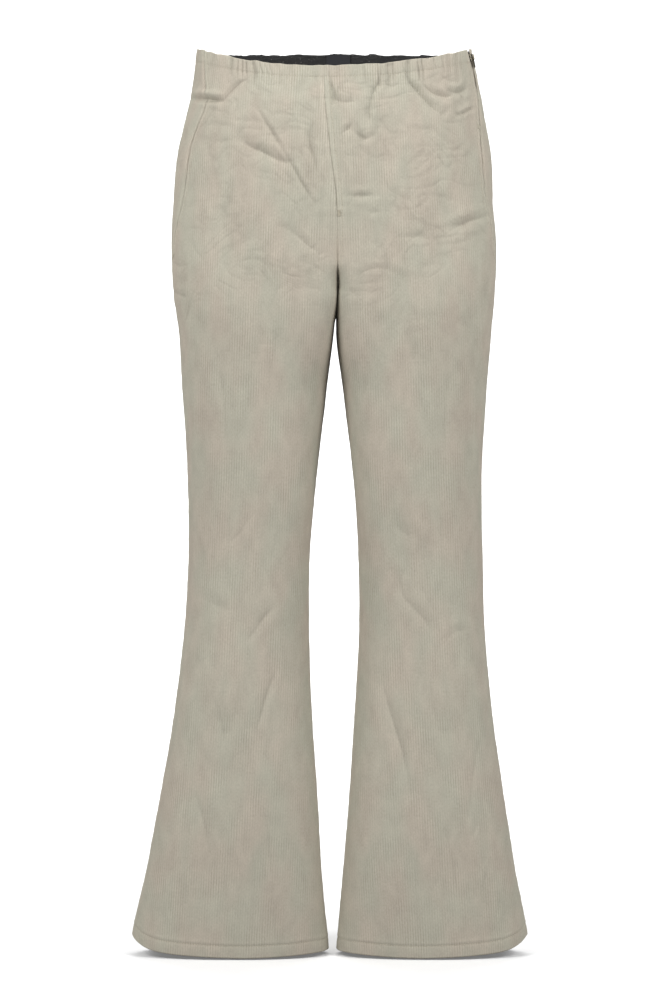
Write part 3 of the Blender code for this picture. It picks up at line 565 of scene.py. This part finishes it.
def wall(name, outer, inner, coordinates, marks=None, skip=1):
    """A closed wall between two grids of points, facing outwards. Its inner side keeps one row and column in every
    skip, and each rim is a row of faces between the outer points and the fewer inner ones. The coordinates, in
    metres on the flat cloth, become its UV map "cut", and each of the marks an attribute."""
    rows, columns = outer.shape[:2]
    thick = (outer - inner)[:-1, :-1]
    inner = inner[::skip, ::skip]
    front = np.arange(rows * columns).reshape(rows, columns)
    behind = np.arange(inner.shape[0] * inner.shape[1]).reshape(inner.shape[:2]) + rows * columns

    def rim(near, far):
        return np.stack([near[i : len(near) - skip + i : skip] for i in range(skip + 1)] + [far[1:], far[:-1]], -1)

    quads = np.concatenate(
        [
            np.stack([front[:-1, :-1], front[:-1, 1:], front[1:, 1:], front[1:, :-1]], -1).reshape(-1, 4),
            np.stack([behind[:-1, :-1], behind[1:, :-1], behind[1:, 1:], behind[:-1, 1:]], -1).reshape(-1, 4),
        ]
    )
    rims = np.concatenate(
        [
            rim(front[0, ::-1], behind[0, ::-1]),
            rim(front[-1], behind[-1]),
            rim(front[:, 0], behind[:, 0]),
            rim(front[::-1, -1], behind[::-1, -1]),
        ]
    )
    step = np.cross(outer[1:, :-1] - outer[:-1, :-1], outer[:-1, 1:] - outer[:-1, :-1])
    if (step * thick).sum() > 0:
        quads, rims = quads[:, ::-1], rims[:, ::-1]
    mesh = bpy.data.meshes.new(name)
    points = np.concatenate([outer.reshape(-1, 3), inner.reshape(-1, 3)])
    mesh.from_pydata(points, [], [*quads.tolist(), *rims.tolist()])
    flat = np.concatenate([coordinates.reshape(-1, 2), coordinates[::skip, ::skip].reshape(-1, 2)])
    corners = np.empty(len(mesh.loops), np.int32)
    mesh.loops.foreach_get("vertex_index", corners)
    mesh.uv_layers.new(name="cut").data.foreach_set("uv", flat[corners].astype(np.float32).ravel())
    for mark, values in (marks or {}).items():
        values = np.concatenate([values.ravel(), values[::skip, ::skip].ravel()])
        mesh.attributes.new(mark, "FLOAT", "POINT").data.foreach_set("value", values.astype(np.float32))
    mesh.shade_smooth()
    return placed(name, mesh)


def linear(code):
    """An sRGB hex colour as linear RGBA."""
    parts = [int(code[i : i + 2], 16) / 255 for i in (1, 3, 5)]
    return (*(c / 12.92 if c <= 0.04045 else ((c + 0.055) / 1.055) ** 2.4 for c in parts), 1)


def node(material, kind, inputs=None, **settings):
    """Adds a node. Each input is given by name or number, as a value or as the socket that feeds it."""
    made = material.node_tree.nodes.new(kind)
    for name, value in settings.items():
        setattr(made, name, value)
    for name, value in (inputs or {}).items():
        if isinstance(value, bpy.types.NodeSocket):
            material.node_tree.links.new(value, made.inputs[name])
        else:
            made.inputs[name].default_value = value
    return made


def new_material(name):
    """An empty material."""
    material = bpy.data.materials.new(name)
    material.use_nodes = True
    material.node_tree.nodes.clear()
    return material


def finish_material(material, shader):
    """Makes a shader the material's surface."""
    node(material, "ShaderNodeOutputMaterial", {"Surface": shader.outputs[0]})


# Cotton corduroy, woven and then cut into ribs of pile. The ribs give fine upright lines, light on the pile and darker
# between, where the ground weave's own tone is deepened by painted shade in the grooves, and stand up less where the
# cloth is pressed. The nap gives a dull bloom with soft blotches where it lies another way, and the dye a faint cast.
# The cloth is a little lighter beside the seams, at the waist's edge and at the hem's fold, and painted shade darkens
# the creases, the gathers and the waist's topstitching.
RIB_PITCH = 2.9 * MM
# The grooves' colour is the ground weave's own, deepened by painted shade between the ribs
SHADED_GROOVE, PILE = linear("#A59F90"), linear("#B5AFA1")
PINKER, GREENER = (1.018, 0.984, 0.988, 1), (0.975, 1.006, 1.0, 1)
corduroy = new_material("cotton corduroy, cut pile")
cut = node(corduroy, "ShaderNodeUVMap", uv_map="cut").outputs[0]
place = node(corduroy, "ShaderNodeSeparateXYZ", {0: cut}).outputs
wander = node(corduroy, "ShaderNodeTexNoise", {"Vector": cut, "Scale": 45, "Detail": 2})
drift = node(corduroy, "ShaderNodeMath", {0: wander.outputs[0], 1: 1.1 * MM}, operation="MULTIPLY")
shifted = node(corduroy, "ShaderNodeMath", {0: place[0], 1: drift.outputs[0]}, operation="ADD")
phase = node(corduroy, "ShaderNodeMath", {0: shifted.outputs[0], 1: 2 * math.pi / RIB_PITCH}, operation="MULTIPLY")
wave = node(corduroy, "ShaderNodeMath", {0: phase.outputs[0]}, operation="COSINE")
rib = node(
    corduroy, "ShaderNodeMapRange", {0: wave.outputs[0], 1: -1, 2: 0.75, 3: 0, 4: 1}, interpolation_type="SMOOTHSTEP"
)

# Noises on the flat cloth, each drawn out along the ribs
stretch = node(corduroy, "ShaderNodeMapping", {"Vector": cut, "Scale": (1, 0.45, 1)}).outputs[0]
pressed, nap, blotch, patch, dyed = (
    node(corduroy, "ShaderNodeTexNoise", {"Vector": stretch, "Scale": scale, "Detail": detail, "Roughness": rough})
    for scale, detail, rough in ((38, 3, 0.6), (820, 3, 0.65), (80, 4, 0.62), (11, 2, 0.5), (30, 1, 0.5))
)
standing = node(corduroy, "ShaderNodeMapRange", {0: pressed.outputs[0], 1: 0.42, 2: 0.7, 3: 0.12, 4: 1.1})
rib = node(corduroy, "ShaderNodeMix", {0: standing.outputs[0], 2: 0.6, 3: rib.outputs[0]})
# Partly painted shade: the grooves darker than the pile
ribbed = node(corduroy, "ShaderNodeMix", {0: rib.outputs[0], 6: SHADED_GROOVE, 7: PILE}, data_type="RGBA")
cast = node(corduroy, "ShaderNodeMapRange", {0: dyed.outputs[0], 1: 0.36, 2: 0.64})
cast = node(corduroy, "ShaderNodeMix", {0: cast.outputs[0], 6: PINKER, 7: GREENER}, data_type="RGBA")
ribbed = node(
    corduroy, "ShaderNodeMix", {0: 1, 6: ribbed.outputs[2], 7: cast.outputs[2]}, data_type="RGBA", blend_type="MULTIPLY"
)

# Shares of light, multiplied: each runs between its last two values as its source runs between the first two
# A little lighter beside the seams, at the hem's fold and at the waist's edge
lighter_edges = node(corduroy, "ShaderNodeAttribute", attribute_name="lighter_edges")
# Painted shade in the creases, the gathers and the topstitching
crease_shade = node(corduroy, "ShaderNodeAttribute", attribute_name="crease_shade")
light = 1
for source, low, high, at_low, at_high in (
    (nap.outputs[0], 0.25, 0.75, 0.87, 1.11),
    (blotch.outputs[0], 0.3, 0.7, 0.925, 1.06),
    (patch.outputs[0], 0.3, 0.7, 0.965, 1.03),
    (lighter_edges.outputs["Fac"], 0, 1, 1, 1.06),
    # painted shade, down to eight tenths in the creases
    (crease_shade.outputs["Fac"], 0, 1, 1, 0.8),
):
    share = node(corduroy, "ShaderNodeMapRange", {0: source, 1: low, 2: high, 3: at_low, 4: at_high}).outputs[0]
    light = node(corduroy, "ShaderNodeMath", {0: light, 1: share}, operation="MULTIPLY").outputs[0]
colour = node(corduroy, "ShaderNodeVectorMath", {0: ribbed.outputs[2], "Scale": light}, operation="SCALE")
height = node(corduroy, "ShaderNodeMath", {0: nap.outputs[0], 1: 0.3, 2: rib.outputs[0]}, operation="MULTIPLY_ADD")
relief = node(corduroy, "ShaderNodeBump", {"Strength": 0.3, "Distance": 0.4 * MM, "Height": height.outputs[0]})
dull = node(
    corduroy,
    "ShaderNodeBsdfPrincipled",
    {
        "Base Color": colour.outputs[0],
        "Roughness": 0.9,
        "Specular IOR Level": 0.15,
        "Sheen Weight": 0.12,
        "Sheen Roughness": 0.45,
        "Sheen Tint": linear("#E8E2D4"),
        "Normal": relief.outputs[0],
    },
)
finish_material(corduroy, dull)

# Each panel's cloth, with its place on the flat cloth as its UV map, in place of its solid
cloths = {}
for side in ("right", "left"):
    for face in ("front", "back"):
        node_name = face + "_" + side
        grid = panel_cloth(side, face)
        grid["normal"] = directions(grid)
        cloths[node_name] = grid
        piece = wall(node_name + "_cloth", grid["outer"], grid["inner"], grid["flat"], grid["marks"], skip=3)
        piece.data.materials.append(corduroy)
        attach(piece, "trousers")
        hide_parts(node_name)


# ---------------------------------------------------------------------------------------------------------------
# Stitching. Cotton-wrapped polyester thread in the cloth's colour: a row round the waist and round each hem, one
# beside the centre front seam, and one on the fronts beside the side seams, with bar tacks where they end.

STITCH = 3.2 * MM  # from one stitch to the next
COVER = 0.84  # the share of that which a stitch covers
THREAD = 0.34 * MM  # radius as it lies on the cloth


def sleeve(rings, sides):
    """The faces of a closed tube: quads between each ring of points and the next, and a face at each end."""
    index = np.arange(rings * sides).reshape(rings, sides)
    turned = np.roll(index, -1, 1)
    quads = np.stack([index[:-1], turned[:-1], turned[1:], index[1:]], -1).reshape(-1, 4)
    return quads, np.stack([index[0][::-1], index[-1]])


def copies(name, points, quads, ends):
    """Many copies of one small closed shape as one mesh. points has a row for each copy."""
    offset = (np.arange(len(points)) * points.shape[1])[:, None, None]
    faces = [(kind + offset).reshape(-1, kind.shape[1]).tolist() for kind in (quads, ends)]
    mesh = bpy.data.meshes.new(name)
    mesh.from_pydata(points.reshape(-1, 3), [], faces[0] + faces[1])
    return placed(name, mesh)


def thread_shape():
    """One stitch: a round thread along X, thin at both ends, where it dips into the cloth. Its radius and its
    height follow half a sine wave."""
    rings, sides = 7, 6
    t = np.linspace(0.02, 0.98, rings)
    swell = np.sin(math.pi * t) ** 0.5
    angle = np.arange(sides) * 2 * math.pi / sides
    x = np.repeat((t - 0.5)[:, None], sides, 1)
    y = swell[:, None] * np.cos(angle)
    z = swell[:, None] * np.sin(angle) + 1.1 * (np.sin(math.pi * t)[:, None] - 0.75)
    return np.stack([x, y, z], -1).reshape(-1, 3), *sleeve(rings, sides)


def stitches(name, runs, thread=THREAD):
    """All the stitches of one row as one mesh. Each run is centres, directions along and outward directions."""
    shape, quads, ends = thread_shape()
    centre, along, out = (np.concatenate(values) for values in zip(*runs))
    ahead = along / np.linalg.norm(along, axis=1, keepdims=True)
    side = np.cross(out, ahead)
    side = side / np.linalg.norm(side, axis=1, keepdims=True)
    up = np.cross(ahead, side)
    points = centre[:, None] + shape[:, 0, None] * along[:, None]
    points = points + thread * shape[:, 1, None] * side[:, None] + thread * shape[:, 2, None] * up[:, None]
    piece = copies(name, points, quads, ends)
    piece.data.shade_smooth()
    return piece


def points_on(values, walked, place):
    """Rows of values at the given places along a path, on straight lines between the path's points."""
    return np.stack([np.interp(place, walked, values[:, i]) for i in range(3)], -1)


def row_of_stitches(path, out):
    """Stitches at an even pitch along a path of points, each covering most of its pitch."""
    walked = np.concatenate([[0], np.cumsum(np.linalg.norm(np.diff(path, axis=0), axis=1))])
    middle = (np.arange(int(walked[-1] / STITCH)) + 0.5) * STITCH
    first = points_on(path, walked, middle - STITCH * COVER / 2)
    last = points_on(path, walked, middle + STITCH * COVER / 2)
    return (first + last) / 2, last - first, points_on(out, walked, middle)


# Spun thread, dyed to match: a little lighter than the cloth's grooves, with a faint twist
thread = new_material("spun thread, dyed to match")
spot = node(thread, "ShaderNodeTexCoord").outputs["Object"]
twist = node(thread, "ShaderNodeTexNoise", {"Vector": spot, "Scale": 2200, "Detail": 1})
tone = node(
    thread, "ShaderNodeMix", {0: twist.outputs[0], 6: linear("#A39B88"), 7: linear("#C2BBA9")}, data_type="RGBA"
)
dry = node(
    thread, "ShaderNodeBsdfPrincipled", {"Base Color": tone.outputs[2], "Roughness": 0.75, "Sheen Weight": 0.2}
)
finish_material(thread, dry)

waist_row = int(np.abs(DOWNS - WAIST_LINE).argmin())
hem_row = int(np.abs(LENGTH - HEM_LINE - DOWNS).argmin())
seam_column = int(np.abs(NEAR_EDGE - SEAM_LINE).argmin())
rows = {"waist_stitching": [], "hem_stitching": [], "front_seam_stitching": [], "side_seam_stitching": []}
for name, grid in cloths.items():
    points, out = grid["outer"], grid["normal"]
    clear = slice(2, -1) if name.endswith("left") else slice(0, None)
    rows["waist_stitching"].append(row_of_stitches(points[waist_row, clear], out[waist_row, clear]))
    rows["hem_stitching"].append(row_of_stitches(points[hem_row], out[hem_row]))
    if name.startswith("front"):
        until = DOWNS < SIDE_STITCHED
        rows["side_seam_stitching"].append(row_of_stitches(points[until, seam_column], out[until, seam_column]))
    if name == "front_left":
        until, far_column = (DOWNS < FRONT_STITCHED) & (DOWNS > WAIST_LINE), -1 - seam_column
        rows["front_seam_stitching"].append(row_of_stitches(points[until, far_column], out[until, far_column]))
for name, runs in rows.items():
    piece = stitches(name, runs)
    piece.data.materials.append(thread)
    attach(piece, "trousers")


def bar_tack(grid, down, column, height):
    """A bar tack: a zigzag of threads across a short upright bar, on the cloth at a distance down and a column."""
    count, width = 16, 5 * MM
    row = int(np.searchsorted(DOWNS, down))
    centre, out = grid["outer"][row, column], grid["normal"][row, column]
    upward = grid["outer"][row - 2, column] - grid["outer"][row + 2, column]
    upward = upward / np.linalg.norm(upward)
    across = np.cross(upward, out)
    t = (np.arange(count) + 0.5) / count - 0.5
    middle = centre + 0.25 * MM * out + upward * (t * height)[:, None]
    slope = np.where(np.arange(count) % 2, 1, -1)[:, None] * upward * height / count
    return middle, across * width + slope, np.repeat(out[None], count, 0)


# Two beside the centre front seam, one at the zip's lower end and one at the end of each side seam's row
tacks = [
    bar_tack(cloths["front_left"], 196 * MM, -6, 7 * MM),
    bar_tack(cloths["front_left"], 262 * MM, -6, 6 * MM),
    bar_tack(cloths["front_left"], 92 * MM, 6, 4 * MM),
    bar_tack(cloths["front_left"], 239 * MM, 6, 4 * MM),
    bar_tack(cloths["front_right"], 239 * MM, 6, 4 * MM),
]
piece = stitches("bar_tacks", tacks, 0.26 * MM)
piece.data.materials.append(thread)
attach(piece, "trousers")


# ---------------------------------------------------------------------------------------------------------------
# Waistband. A black woven elastic, 30 mm wide, faced inside the waist and open at the zip. Its ribs run round the
# waist, and its top edge shows above the back, a little wavy where the stitching stretches it.

BAND = 1.8 * MM  # its thickness
BAND_HEIGHT = 30 * MM
BEHIND = 0.3 * MM  # from the cloth's inner side to the band
BAND_RIB = 2.4 * MM


def at_down(values, down):
    """A panel's values on its rows at the given distances down, on straight lines between the rows."""
    k = np.clip(np.searchsorted(DOWNS, down, side="right") - 1, 0, len(DOWNS) - 2)
    t = ((down - DOWNS[k]) / (DOWNS[k + 1] - DOWNS[k]))[:, None, None]
    return values[k] * (1 - t) + values[k + 1] * t


# Its points follow the cloth's inner side, from the zip round the front and the back to the zip again
band_rows = np.concatenate([[0, 0.2, 0.6], np.linspace(1.2, 28.8, 24), [29.4, 29.8, 30]]) * MM
from_zip = int(np.searchsorted(NEAR_EDGE, 8 * MM))  # the column where it ends, 8 mm from the cloth's folded edge
parts, ways = [], []
for name, order in (
    ("front_left", slice(from_zip, -1)),
    ("front_right", slice(-2, None, -1)),
    ("back_right", slice(1, -1)),
    ("back_left", slice(-2, from_zip - 1, -1)),
):
    grid = cloths[name]
    inside = grid["outer"] - grid["normal"] * grid["thickness"][..., None]
    parts.append(at_down(inside, band_rows)[:, order])
    ways.append(at_down(grid["normal"], band_rows)[:, order])
ring, ways = np.concatenate(parts, 1)[:, ::2], np.concatenate(ways, 1)[:, ::2]
ways = ways / np.linalg.norm(ways, axis=-1, keepdims=True)
walked = np.concatenate([[0], np.cumsum(np.linalg.norm(np.diff(ring[12], axis=0), axis=1))])

# The top edge stands above the cloth's at the back, a little wavy, and lies below it in front
backness = ease(-30 * MM, 30 * MM, ring[:, :, 1])
wavy = 0.3 * MM * uneven(walked[None, :] / (17 * MM), 0 * backness, 91)
raised = backness * (1.7 * MM + wavy) - 2.5 * MM * (1 - backness)
ring[..., 2] += (1 - ease(0, 12 * MM, band_rows))[:, None] * raised
edge = np.minimum(band_rows, BAND_HEIGHT - band_rows)[:, None] + 0 * walked
rounding = rounded(edge, BAND / 2)
ribs = 0.1 * MM * np.cos(2 * math.pi * band_rows / BAND_RIB)[:, None]
outer = ring - ways * (BEHIND + rounding)[..., None]
inner = ring - ways * (BEHIND + BAND - rounding + ribs)[..., None]
flat = np.stack([walked[None, :] + 0 * edge, -band_rows[:, None] + 0 * edge], -1)
band = wall("waist_elastic", outer, inner, flat)

# Woven elastic of polyester over rubber: near black, with its ribs, a dull shine on the yarn and a little pale lint
YARN = 1.0 * MM
elastic = new_material("woven elastic, ribbed")
weave = node(elastic, "ShaderNodeUVMap", uv_map="cut").outputs[0]
place = node(elastic, "ShaderNodeSeparateXYZ", {0: weave}).outputs
ridge = node(elastic, "ShaderNodeMath", {0: place[1], 1: 2 * math.pi / (BAND_RIB / 2)}, operation="MULTIPLY")
ridge = node(elastic, "ShaderNodeMath", {0: ridge.outputs[0]}, operation="SINE")
yarn = node(elastic, "ShaderNodeMath", {0: place[0], 1: 2 * math.pi / YARN}, operation="MULTIPLY")
yarn = node(elastic, "ShaderNodeMath", {0: yarn.outputs[0]}, operation="SINE")
height = node(elastic, "ShaderNodeMath", {0: yarn.outputs[0], 1: 0.4, 2: ridge.outputs[0]}, operation="MULTIPLY_ADD")
relief = node(elastic, "ShaderNodeBump", {"Strength": 0.7, "Distance": 0.2 * MM, "Height": height.outputs[0]})
dust = node(elastic, "ShaderNodeTexNoise", {"Vector": weave, "Scale": 240, "Detail": 4})
tone = node(
    elastic, "ShaderNodeMix", {0: dust.outputs[0], 6: linear("#080707"), 7: linear("#141313")}, data_type="RGBA"
)
lint = node(elastic, "ShaderNodeTexNoise", {"Vector": weave, "Scale": 620, "Detail": 1})
lint = node(elastic, "ShaderNodeMapRange", {0: lint.outputs[0], 1: 0.69, 2: 0.74, 4: 0.5})
tone = node(elastic, "ShaderNodeMix", {0: lint.outputs[0], 6: tone.outputs[2], 7: linear("#9A9894")}, data_type="RGBA")
yarns = {"Base Color": tone.outputs[2], "Roughness": 0.62, "Sheen Weight": 0.05, "Normal": relief.outputs[0]}
finish_material(elastic, node(elastic, "ShaderNodeBsdfPrincipled", yarns))
band.data.materials.append(elastic)
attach(band, "trousers")
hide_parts("waistband")


# ---------------------------------------------------------------------------------------------------------------
# Label. A small black woven label inside the centre back, sewn on the elastic. It carries nothing.

label = new_material("satin label, woven")
spot = node(label, "ShaderNodeTexCoord").outputs["Object"]
satin = node(label, "ShaderNodeTexWave", {"Vector": spot, "Scale": 900, "Distortion": 1}, bands_direction="Z")
satin = satin.outputs["Fac"]
tone = node(label, "ShaderNodeMix", {0: satin, 6: linear("#1B1B1E"), 7: linear("#2C2C31")}, data_type="RGBA")
relief = node(label, "ShaderNodeBump", {"Strength": 0.3, "Distance": 0.1 * MM, "Height": satin})
shine = {"Base Color": tone.outputs[2], "Roughness": 0.42, "Normal": relief.outputs[0]}
finish_material(label, node(label, "ShaderNodeBsdfPrincipled", shine))


def dress(name, material):
    """Gives a solid of the frame its material."""
    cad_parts[name].data.materials.clear()
    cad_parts[name].data.materials.append(material)


dress("back_label", label)


# ---------------------------------------------------------------------------------------------------------------
# Zip, in the wearer's left side seam. Two woven tapes behind the folded edges of the cloth, dark brass teeth
# between them from the slider to the lower end, a die-cast slider at the top and a flat pull that hangs from it.

tape = new_material("woven zip tape")
spot = node(tape, "ShaderNodeTexCoord").outputs["Object"]
weave = node(tape, "ShaderNodeTexWave", {"Vector": spot, "Scale": 420, "Distortion": 0.6}, bands_direction="Z")
weave = weave.outputs["Fac"]
tone = node(tape, "ShaderNodeMix", {0: weave, 6: linear("#A59C8A"), 7: linear("#C3BBAA")}, data_type="RGBA")
relief = node(tape, "ShaderNodeBump", {"Strength": 0.5, "Distance": 0.15 * MM, "Height": weave})
twill = {"Base Color": tone.outputs[2], "Roughness": 0.8, "Sheen Weight": 0.1, "Normal": relief.outputs[0]}
finish_material(tape, node(tape, "ShaderNodeBsdfPrincipled", twill))

brass = new_material("aged brass, tumbled")
spot = node(brass, "ShaderNodeTexCoord").outputs["Object"]
tarnish = node(brass, "ShaderNodeTexNoise", {"Vector": spot, "Scale": 900, "Detail": 4, "Roughness": 0.6}).outputs[0]
tone = node(brass, "ShaderNodeMix", {0: tarnish, 6: linear("#3E3A32"), 7: linear("#9A9382")}, data_type="RGBA")
rough = node(brass, "ShaderNodeMapRange", {0: tarnish, 3: 0.28, 4: 0.55}).outputs[0]
relief = node(brass, "ShaderNodeBump", {"Strength": 0.3, "Distance": 0.05 * MM, "Height": tarnish})
metal = {"Base Color": tone.outputs[2], "Roughness": rough, "Metallic": 1.0, "Normal": relief.outputs[0]}
finish_material(brass, node(brass, "ShaderNodeBsdfPrincipled", metal))
for name, material in (("zip_tape_front", tape), ("zip_tape_back", tape), ("zip_slider", brass), ("zip_pull", brass)):
    dress(name, material)


ZIP_INWARD = 2.3 * MM  # from the cloth's outer side to the teeth's middle
BELOW_SLIDER, ZIP_END = 20.5 * MM, 92 * MM  # the first tooth's and the lower end's distances down
TOOTH = 1.25 * MM  # from one tooth to the next


def zip_line(down):
    """Points on the zip's middle line, inward of the cloth, with the directions up along it, across and out."""
    start = read_table(SEAM_ROLL, SEAM_COLUMNS, "left", down)
    out = outward("left", start, down)
    points = plain_form("left", start, down) - out * ZIP_INWARD
    upward = -np.gradient(points, axis=0)
    upward = upward / np.linalg.norm(upward, axis=1, keepdims=True)
    across = np.cross(upward, out)
    return points, upward, across / np.linalg.norm(across, axis=1, keepdims=True), out


def tooth_shape():
    """A tooth: a block along X from the tape to just past the middle, its tip rounded, its edges cut back. Each of
    its four rings is an eight-sided outline, as large as half_y and half_z say."""
    x = np.array([-2.5, -0.4, 0.35, 0.75])
    half_z = np.array([0.50, 0.50, 0.46, 0.26])
    half_y = np.array([0.65, 0.65, 0.6, 0.4])
    outline = np.array([(-1, -0.6), (-0.6, -1), (0.6, -1), (1, -0.6), (1, 0.6), (0.6, 1), (-0.6, 1), (-1, 0.6)])
    y, z = half_y[:, None] * outline[:, 1], half_z[:, None] * outline[:, 0]
    points = np.stack([np.repeat(x[:, None], len(outline), 1), y, z], -1)
    return points.reshape(-1, 3) * MM, *sleeve(len(x), len(outline))


# The teeth stand in turn on one tape and the other, so every second one is turned round
shape, quads, ends = tooth_shape()
places = np.arange(BELOW_SLIDER, ZIP_END, TOOTH)
points, upward, across, out = zip_line(places)
hand = np.where(np.arange(len(places)) % 2, 1.0, -1.0)[:, None]
across, upward = across * hand, upward * hand
in_place = points[:, None] + shape[:, 0, None] * across[:, None] + shape[:, 1, None] * out[:, None]
in_place = in_place + shape[:, 2, None] * upward[:, None]
teeth = copies("zip_teeth", in_place, quads, ends)
teeth.data.materials.append(brass)
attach(teeth, "trousers")


# ---------------------------------------------------------------------------------------------------------------
# Floor, light and camera. A white paper sweep just under the hems, which is clear from behind, a broad soft light
# on each side in front, one on the paper, an even light all round, and a long lens level with half their height.

FLOOR = -1.0435
WHITE = linear("#FFFFFF")
sweep = new_material("white paper, matt")
spot = node(sweep, "ShaderNodeTexCoord").outputs["Object"]
grain = node(sweep, "ShaderNodeTexNoise", {"Vector": spot, "Scale": 30, "Detail": 2})
tone = node(
    sweep, "ShaderNodeMix", {0: grain.outputs[0], 6: linear("#E2E2E2"), 7: linear("#E6E6E6")}, data_type="RGBA"
)

# The camera sees it whiter than it lights the cloth, and sees through its back
seen = node(sweep, "ShaderNodeLightPath").outputs["Is Camera Ray"]
tone = node(sweep, "ShaderNodeMix", {0: seen, 6: linear("#9C9C9C"), 7: tone.outputs[2]}, data_type="RGBA")
glow = node(sweep, "ShaderNodeMath", {0: seen, 1: 0.16}, operation="MULTIPLY")
matt = {"Base Color": tone.outputs[2], "Roughness": 0.95, "Specular IOR Level": 0.1}
matt = {**matt, "Emission Color": WHITE, "Emission Strength": glow.outputs[0]}
paper = node(sweep, "ShaderNodeBsdfPrincipled", matt)
back = node(sweep, "ShaderNodeNewGeometry").outputs["Backfacing"]
clear = node(sweep, "ShaderNodeBsdfTransparent")
finish_material(sweep, node(sweep, "ShaderNodeMixShader", {0: back, 1: paper.outputs[0], 2: clear.outputs[0]}))

# The sheet: level from 6 m in front to 3 m behind, a quarter circle of 1.5 m, then 6 m straight up. It is 14 m wide.
LEVEL_UNTIL, CURVE_UNTIL, CURVE_RADIUS = 0.45, 0.65, 1.5
t = np.linspace(0, 1, 40)[:, None]
across = np.linspace(-7, 7, 3)[None, :]
turned = np.clip((t - LEVEL_UNTIL) / (CURVE_UNTIL - LEVEL_UNTIL), 0, 1) * math.pi / 2
y = -6 + 9 * np.minimum(t, LEVEL_UNTIL) / LEVEL_UNTIL + CURVE_RADIUS * np.sin(turned)
z = FLOOR + CURVE_RADIUS * (1 - np.cos(turned)) + 6 * np.clip((t - CURVE_UNTIL) / (1 - CURVE_UNTIL), 0, 1)
points = np.stack(np.broadcast_arrays(across, y, z), -1)
index = np.arange(t.size * across.size).reshape(t.size, across.size)
faces = np.stack([index[:-1, :-1], index[:-1, 1:], index[1:, 1:], index[1:, :-1]], -1).reshape(-1, 4)
mesh = bpy.data.meshes.new("paper_sweep")
mesh.from_pydata(points.reshape(-1, 3), [], faces)
mesh.materials.append(sweep)
mesh.shade_smooth()
placed("paper_sweep", mesh)


def soft_light(name, place, target, size, power):
    """A square area light at a place, turned to face a target."""
    lamp = bpy.data.lights.new(name, "AREA")
    lamp.shape, lamp.size, lamp.energy = "SQUARE", size, power
    away = np.array(place) - np.array(target)
    made = placed(name, lamp)
    made.location = place
    made.rotation_euler = (math.atan2(math.hypot(away[0], away[1]), away[2]), 0, math.atan2(away[0], -away[1]))


soft_light("light_left", (-1.6, -1.5, 0.9), (0, 0, 0), 1.2, 43.5)
soft_light("light_right", (1.6, -1.5, 0.9), (0, 0, 0), 1.2, 40.5)
soft_light("light_behind", (0, 2.6, 2.2), (0, 3.6, -0.6), 2.4, 150)
world = bpy.data.worlds.new("studio")
bpy.context.scene.world = world
world.use_nodes = True
background = world.node_tree.nodes["Background"].inputs
background["Color"].default_value = WHITE
background["Strength"].default_value = 0.51
bpy.context.scene.view_settings.view_transform = "Standard"

camera = placed("camera", bpy.data.cameras.new("camera"))
camera.data.lens = 114.4
camera.data.sensor_width = 36
camera.location = (1.2 * MM, -3.7, -524.4 * MM)
camera.rotation_euler = (math.pi / 2, 0, 0)
bpy.context.scene.camera = camera
